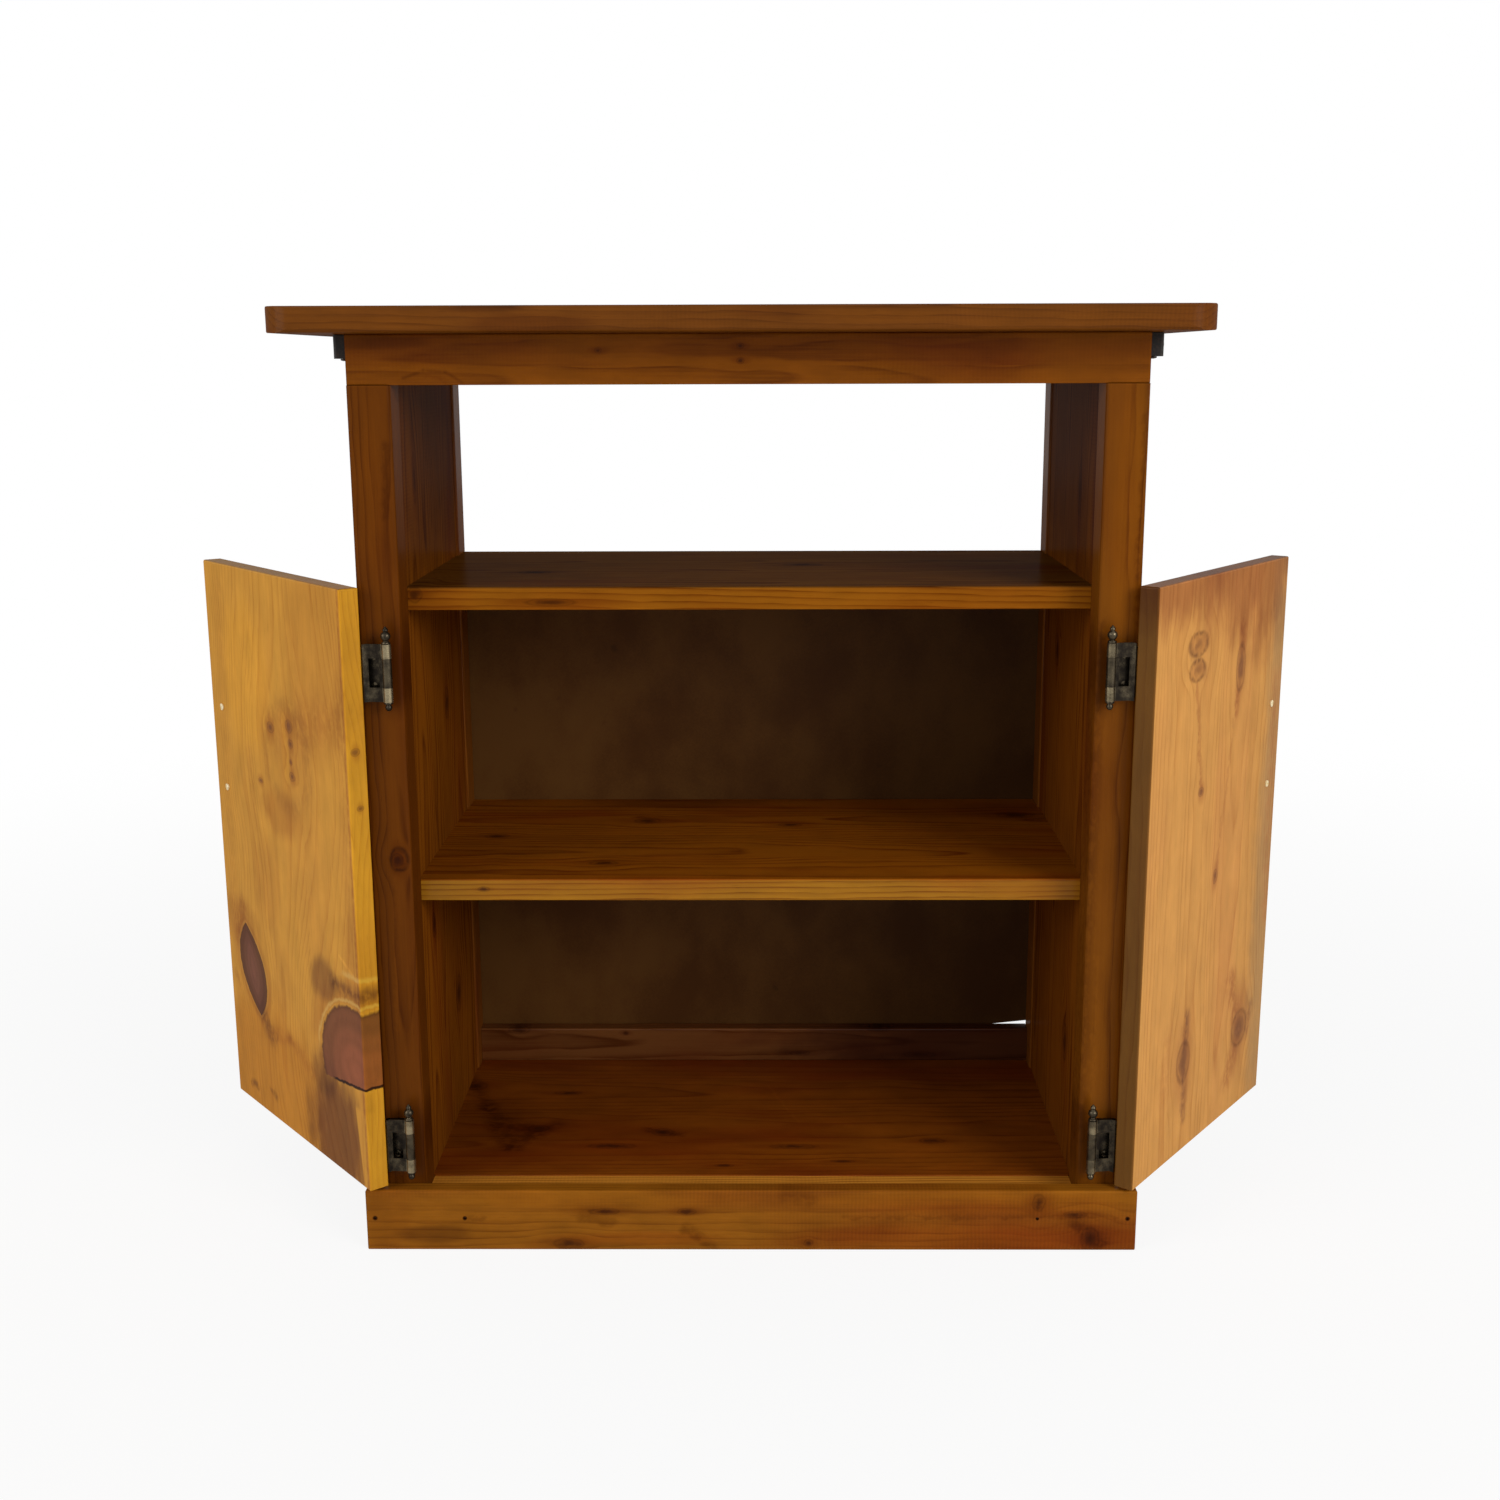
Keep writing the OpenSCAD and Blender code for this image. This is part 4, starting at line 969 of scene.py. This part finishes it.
def grow(name, carrier, tree, sizes, finish, body, replaced):
    piece = bpy.data.objects.new(name, carrier)
    bpy.context.scene.collection.objects.link(piece)
    modifier = piece.modifiers.new("pattern", "NODES")
    modifier.node_group = tree
    for socket in tree.interface.items_tree:
        if socket.in_out == "INPUT" and socket.name in sizes:
            modifier[socket.identifier] = sizes[socket.name]
        if socket.name == "Finish":
            modifier[socket.identifier] = finish
    piece.update_tag()
    bpy.context.view_layer.update()
    graph = bpy.context.evaluated_depsgraph_get()
    mesh = bpy.data.meshes.new_from_object(piece.evaluated_get(graph), depsgraph=graph)
    piece.modifiers.remove(modifier)
    shape = bmesh.new()
    shape.from_mesh(mesh)
    bmesh.ops.remove_doubles(shape, verts=shape.verts, dist=shapes["weld"])
    bmesh.ops.recalc_face_normals(shape, faces=shape.faces)
    shape.to_mesh(mesh)
    shape.free()
    mesh.name = name
    piece.data = mesh
    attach(piece, body)
    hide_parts(*replaced)
    print("grew", name, len(mesh.polygons), "faces")


def looseSolids(name):  # the points of each separate solid of a CAD node
    shape = bmesh.new()
    shape.from_mesh(nodes[name].data)
    bmesh.ops.remove_doubles(shape, verts=shape.verts, dist=shapes["weld"])
    left = set(shape.verts)
    groups = []
    while left:
        waiting = [min(left, key=lambda vertex: vertex.index)]
        left.discard(waiting[0])
        group = []
        while waiting:
            vertex = waiting.pop()
            group.append(vertex.co.copy())
            for edge in vertex.link_edges:
                other = edge.other_vert(vertex)
                if other in left:
                    left.discard(other)
                    waiting.append(other)
        groups.append(group)
    shape.free()
    return groups


def fastenerPlaces(name, place):  # middle of each head's face, the way it faces, and its radius
    turned = ownFrame(place).inverted().to_3x3()
    axes = [(turned @ Vector(axis)).normalized() for axis in ((1, 0, 0), (0, 1, 0), (0, 0, 1))]
    found = []
    for group in looseSolids(name):
        middle = sum(group, Vector()) / len(group)
        spans = [max(p.dot(axis) for p in group) - min(p.dot(axis) for p in group) for axis in axes]
        axis = axes[spans.index(max(spans))]
        ends = []
        for sign in (1, -1):
            top = max(p.dot(axis) * sign for p in group)
            near = [p for p in group if p.dot(axis) * sign > top - shapes["headDepth"]]
            girth = max((p - middle - axis * (p - middle).dot(axis)).length for p in near)
            face = middle + axis * sign * (top - (middle.dot(axis) * sign))
            outward = (face - Vector((0, shapes["middle"], face.z))).length
            ends.append((round(girth, 5), round(outward, 5), face, axis * sign))
        best = max(ends, key=lambda end: end[:2])
        found.append((best[2], best[3], best[0]))
    return found


fasteners = {
    "leaf_screw_heads": {
        "nodes": ["post_leaf_screws_left", "post_leaf_screws_right"], "place": "carcass", "body": "cabinet",
        "slots": 1, "finish": darkBrass, "slot": "hinge_metal", "roll": 1.1,
        "Head Radius": 0.0035, "Head Height": 0.002, "Foot Taper": 0.45, "Dome": 0.0006,
        "Slot Width": 0.0009, "Slot Depth": 0.001, "Shank Radius": 0.0015, "Shank Length": 0.012,
    },
    "block_screw_heads": {
        "nodes": ["corner_block_screws"], "place": "carcass", "body": "cabinet",
        "slots": 2, "finish": darkSteel, "slot": "screw_metal", "roll": 0.7,
        "Head Radius": 0.0039, "Head Height": 0.0013, "Dome": 0.001, "Slot Width": 0.0009,
        "Slot Depth": 0.0012, "Slot Length": 0.0046, "Shank Radius": 0.0018, "Shank Length": 0.02,
    },
    "back_panel_tacks": {
        "nodes": ["back_panel_nails"], "place": "carcass", "body": "cabinet",
        "slots": 0, "finish": darkSteel, "slot": "screw_metal", "roll": 0.0,
        "Head Radius": 0.002, "Head Height": 0.0003, "Dome": 0.0005,
        "Shank Radius": 0.0006, "Shank Length": 0.01,
    },
    "plinth_nail_heads": {
        "nodes": ["plinth_nails"], "place": "carcass", "body": "cabinet",
        "slots": 0, "finish": darkSteel, "slot": "screw_metal", "roll": 0.0,
        "Head Radius": 0.001, "Head Height": 0.001, "Dome": 0.0001,
        "Shank Radius": 0.0009, "Shank Length": 0.03,
    },
}
for side in ("left", "right"):
    onDoor = {"place": side, "body": side + "_door"}
    fasteners["door_leaf_screw_heads_" + side] = {
        **fasteners["leaf_screw_heads"], **onDoor, "nodes": ["door_leaf_screws_" + side],
    }
    fasteners["handle_screw_heads_" + side] = {
        **fasteners["block_screw_heads"], **onDoor, "nodes": ["handle_screws_" + side],
        "finish": paintedGlintSteel, "Shank Length": 0.022,
    }

fastenerTrees = {slots: fastenerTree(slots) for slots in (0, 1, 2)}
for name, kind in fasteners.items():
    spots = [spot for node in kind["nodes"] for spot in fastenerPlaces(node, places[kind["place"]])]
    points = [face - facing * (kind["Dome"] if kind["slots"] != 1 else 0.0) for face, facing, girth in spots]
    rolls = [kind["roll"] * (i + 1) for i in range(len(spots))]
    carrier = pointMesh(name, points, [], {"roll": rolls}, {"facing": [spot[1] for spot in spots]})
    tree = fastenerTrees[kind["slots"]]
    grow(name, carrier, tree, kind, kind["finish"], kind["body"], kind["nodes"])

turned = turnedTree()

pin = {  # millimetres above the middle of the barrel, and the radius there
    "profile": [
        (-39.6, 0.05), (-39.4, 1.0), (-38.7, 2.2), (-37.6, 3.1), (-36.0, 3.7), (-34.6, 3.5), (-33.6, 2.8),
        (-33.1, 2.6), (-32.6, 3.4), (-32.1, 4.4), (-31.6, 4.6), (-30.6, 4.6), (-30.2, 4.3), (-30.15, 2.4),
        (30.15, 2.4), (30.2, 4.3), (30.6, 4.6), (31.6, 4.6), (32.1, 4.3), (32.7, 3.0), (33.3, 2.7),
        (33.9, 3.1), (35.0, 4.1), (36.4, 4.9), (38.0, 5.2), (39.6, 5.0), (41.0, 4.3), (42.0, 3.3),
        (42.6, 2.5), (43.0, 2.3), (43.5, 2.6), (44.2, 3.0), (45.0, 2.8), (46.0, 2.1), (47.0, 1.3),
        (48.0, 0.5), (48.3, 0.05),
    ],
    "facets": 40,
}


def hingePins():
    names = [name for name in nodes if name.startswith("hinge_pin_")]
    points, girths, chains = [], [], []
    low, high = pin["profile"][0][0], pin["profile"][-1][0]
    for name in names:
        start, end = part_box(name)
        middle = [(a + b) / 2 for a, b in zip(start, end)]
        chains.append((len(points), len(pin["profile"])))
        for height, radius in pin["profile"]:
            share = (height - low) / (high - low)
            points.append((middle[0], middle[1], start[2] + (end[2] - start[2]) * share))
            girths.append(radius / 1000)
    carrier = pointMesh("turned_pins", points, chains, {"girth": girths})
    sizes = {"Facets": pin["facets"]}
    grow("turned_pins", carrier, turned, sizes, darkBrass, "cabinet", names)


hingePins()

handle = {  # millimetres in the door's own frame
    "across": 337,
    "face": 20,
    "feet": (464, 560),
    "grip": -4,
    "corner": 11,
    "radius": 3.7,
    "cornerSwell": 0.3,
    "gripSwell": 0.7,
    "rosette": [  # how far from the door, and the radius there
        (0.0, 9.0), (0.7, 9.0), (1.2, 8.5), (1.6, 7.4), (2.5, 6.8), (3.2, 6.7), (4.2, 5.4), (5.4, 4.3),
        (6.2, 3.9),
    ],
    "cornerSteps": 8,
    "gripSteps": 14,
    "facets": 28,
}


def bowHandle(side):
    back = ownFrame(places[side]).inverted()
    x, face, grip, corner = [handle[key] for key in ("across", "face", "grip", "corner")]
    low, high = handle["feet"]
    thin, thick = handle["radius"], handle["radius"] + handle["cornerSwell"]
    path = [(face, low, thick), (grip + corner + 2, low, thin)]
    for step in range(handle["cornerSteps"] + 1):
        angle = math.pi / 2 * step / handle["cornerSteps"]
        path.append((grip + corner * (1 - math.sin(angle)), low + corner * (1 - math.cos(angle)), thick))
    for step in range(1, handle["gripSteps"]):
        share = step / handle["gripSteps"]
        bulge = math.sin(math.pi * share) ** 2
        height = low + corner + (high - low - 2 * corner) * share
        path.append((grip, height, thick + handle["gripSwell"] * bulge))
    path += [(y, low + high - z, radius) for y, z, radius in reversed(path[:handle["cornerSteps"] + 3])]
    points = [back @ Vector((x, y, z)) for y, z, radius in path]
    girths = [radius / 1000 for y, z, radius in path]
    chains = [(0, len(path))]
    for foot in (low, high):
        chains.append((len(points), len(handle["rosette"])))
        for height, radius in handle["rosette"]:
            points.append(back @ Vector((x, face - height, foot)))
            girths.append(radius / 1000)
    name = "bow_handle_" + side
    carrier = pointMesh(name, points, chains, {"girth": girths})
    sizes = {"Facets": handle["facets"]}
    grow(name, carrier, turned, sizes, darkBrass, side + "_door", ["handle_" + side])


for side in ("left", "right"):
    bowHandle(side)
print("screws, nails, pins and handles done")

# Studio: floor, lights, world, camera

studio = {
    "floorHalf": 12.0,
    "floorPale": (246, 245, 243),
    "floorDark": (236, 235, 232),
    "floorMottle": 0.15,
    "floorGlow": (0.88, 1.0),  # how white the camera sees the floor, near the cabinet and far from it
    "floorFade": (0.8, 3.0),  # metres from the cabinet
    "ambient": 0.42,
    "lights": [
        {"name": "key", "at": (2.7, -2.7, 2.1), "to": (0, 0.2, 0.45), "size": 1.8, "watts": 84},
        {"name": "fill", "at": (-3.0, -1.9, 1.9), "to": (0, 0.2, 0.5), "size": 2.2, "watts": 46},
    ],
}


def buildFloor():
    mesh = bpy.data.meshes.new("floor")
    half = studio["floorHalf"]
    corners = [(-half, -half, 0), (half, -half, 0), (half, half, 0), (-half, half, 0)]
    mesh.from_pydata(corners, [], [(0, 1, 2, 3)])
    floor = bpy.data.objects.new("floor", mesh)
    bpy.context.scene.collection.objects.link(floor)
    finish = Finish("floor")
    row = finish.add("ShaderNodeTexCoord", {}, {}, 3)
    mottle = finish.noise(row, (3, 3, 3), 1) * studio["floorMottle"]
    colour = finish.mix(mottle, paint(*studio["floorPale"]), paint(*studio["floorDark"]))
    matt = finish.add("ShaderNodeBsdfDiffuse", {}, {"Color": colour})
    glow = finish.add("ShaderNodeEmission", {}, {"Strength": 1.0})
    away = finish.vector("LENGTH", row, (0, 0, 0), 1)
    seen = finish.add("ShaderNodeLightPath") * finish.fade(away, *studio["floorFade"], *studio["floorGlow"])
    both = finish.add("ShaderNodeMixShader", {}, {0: seen, 1: matt, 2: glow})
    finish.link(both, finish.out.inputs["Surface"])
    mesh.materials.append(finish.material)


def buildWorld():
    world = bpy.data.worlds.new("studio")
    bpy.context.scene.world = world
    world.use_nodes = True
    sky = Maker()
    sky.tree = world.node_tree
    sky.tree.nodes.clear()
    out = sky.tree.nodes.new("ShaderNodeOutputWorld")
    rays = sky.add("ShaderNodeLightPath").socket.node.outputs
    seen = Amount(sky, rays["Is Camera Ray"])
    for key in ("Is Glossy Ray", "Is Transmission Ray"):
        settings = {"operation": "ADD", "use_clamp": True}
        seen = sky.add("ShaderNodeMath", settings, {0: seen, 1: Amount(sky, rays[key])})
    colour = (1.0, 1.0, 1.0, 1.0)
    soft = sky.add("ShaderNodeBackground", {}, {"Color": colour, "Strength": studio["ambient"]})
    white = sky.add("ShaderNodeBackground", {}, {"Color": colour, "Strength": 1.0})
    sky.link(sky.add("ShaderNodeMixShader", {}, {0: seen, 1: soft, 2: white}), out.inputs["Surface"])


def buildLights():
    for light in studio["lights"]:
        data = bpy.data.lights.new(light["name"], "AREA")
        data.shape = "SQUARE"
        data.size = light["size"]
        data.energy = light["watts"]
        lamp = bpy.data.objects.new(light["name"], data)
        bpy.context.scene.collection.objects.link(lamp)
        aim = Vector(light["to"]) - Vector(light["at"])
        turn = aim.to_track_quat("-Z", "Y").to_matrix().to_4x4()
        lamp.matrix_world = Matrix.Translation(light["at"]) @ turn


camera = {
    "at": (0.022774, -1.734147, 0.950804),
    "yaw": -0.472,
    "pitch": 12.165,
    "roll": -0.178,
    "focalPixels": 1723.061,
    "framePixels": 1500,
    "sensor": 36,  # millimetres
    "clip": 100,
    "shift": (-0.00471, -0.0112),
}


def buildCamera():
    yaw, pitch, roll = [math.radians(camera[key]) for key in ("yaw", "pitch", "roll")]
    ahead = Vector((math.sin(yaw) * math.cos(pitch), math.cos(yaw) * math.cos(pitch), -math.sin(pitch)))
    level = Vector((math.cos(yaw), -math.sin(yaw), 0))
    upright = level.cross(ahead)
    right = math.cos(roll) * level + math.sin(roll) * upright
    up = math.cos(roll) * upright - math.sin(roll) * level
    data = bpy.data.cameras.new("camera")
    data.sensor_width = camera["sensor"]
    data.lens = camera["focalPixels"] / camera["framePixels"] * camera["sensor"]
    data.shift_x, data.shift_y = camera["shift"]
    data.clip_end = camera["clip"]
    eye = bpy.data.objects.new("camera", data)
    bpy.context.scene.collection.objects.link(eye)
    columns = Matrix((right, up, -ahead)).transposed().to_4x4()
    eye.matrix_world = Matrix.Translation(camera["at"]) @ columns
    bpy.context.scene.camera = eye


buildFloor()
buildWorld()
buildLights()
buildCamera()
bpy.context.scene.view_settings.view_transform = "Standard"
print("studio ready")
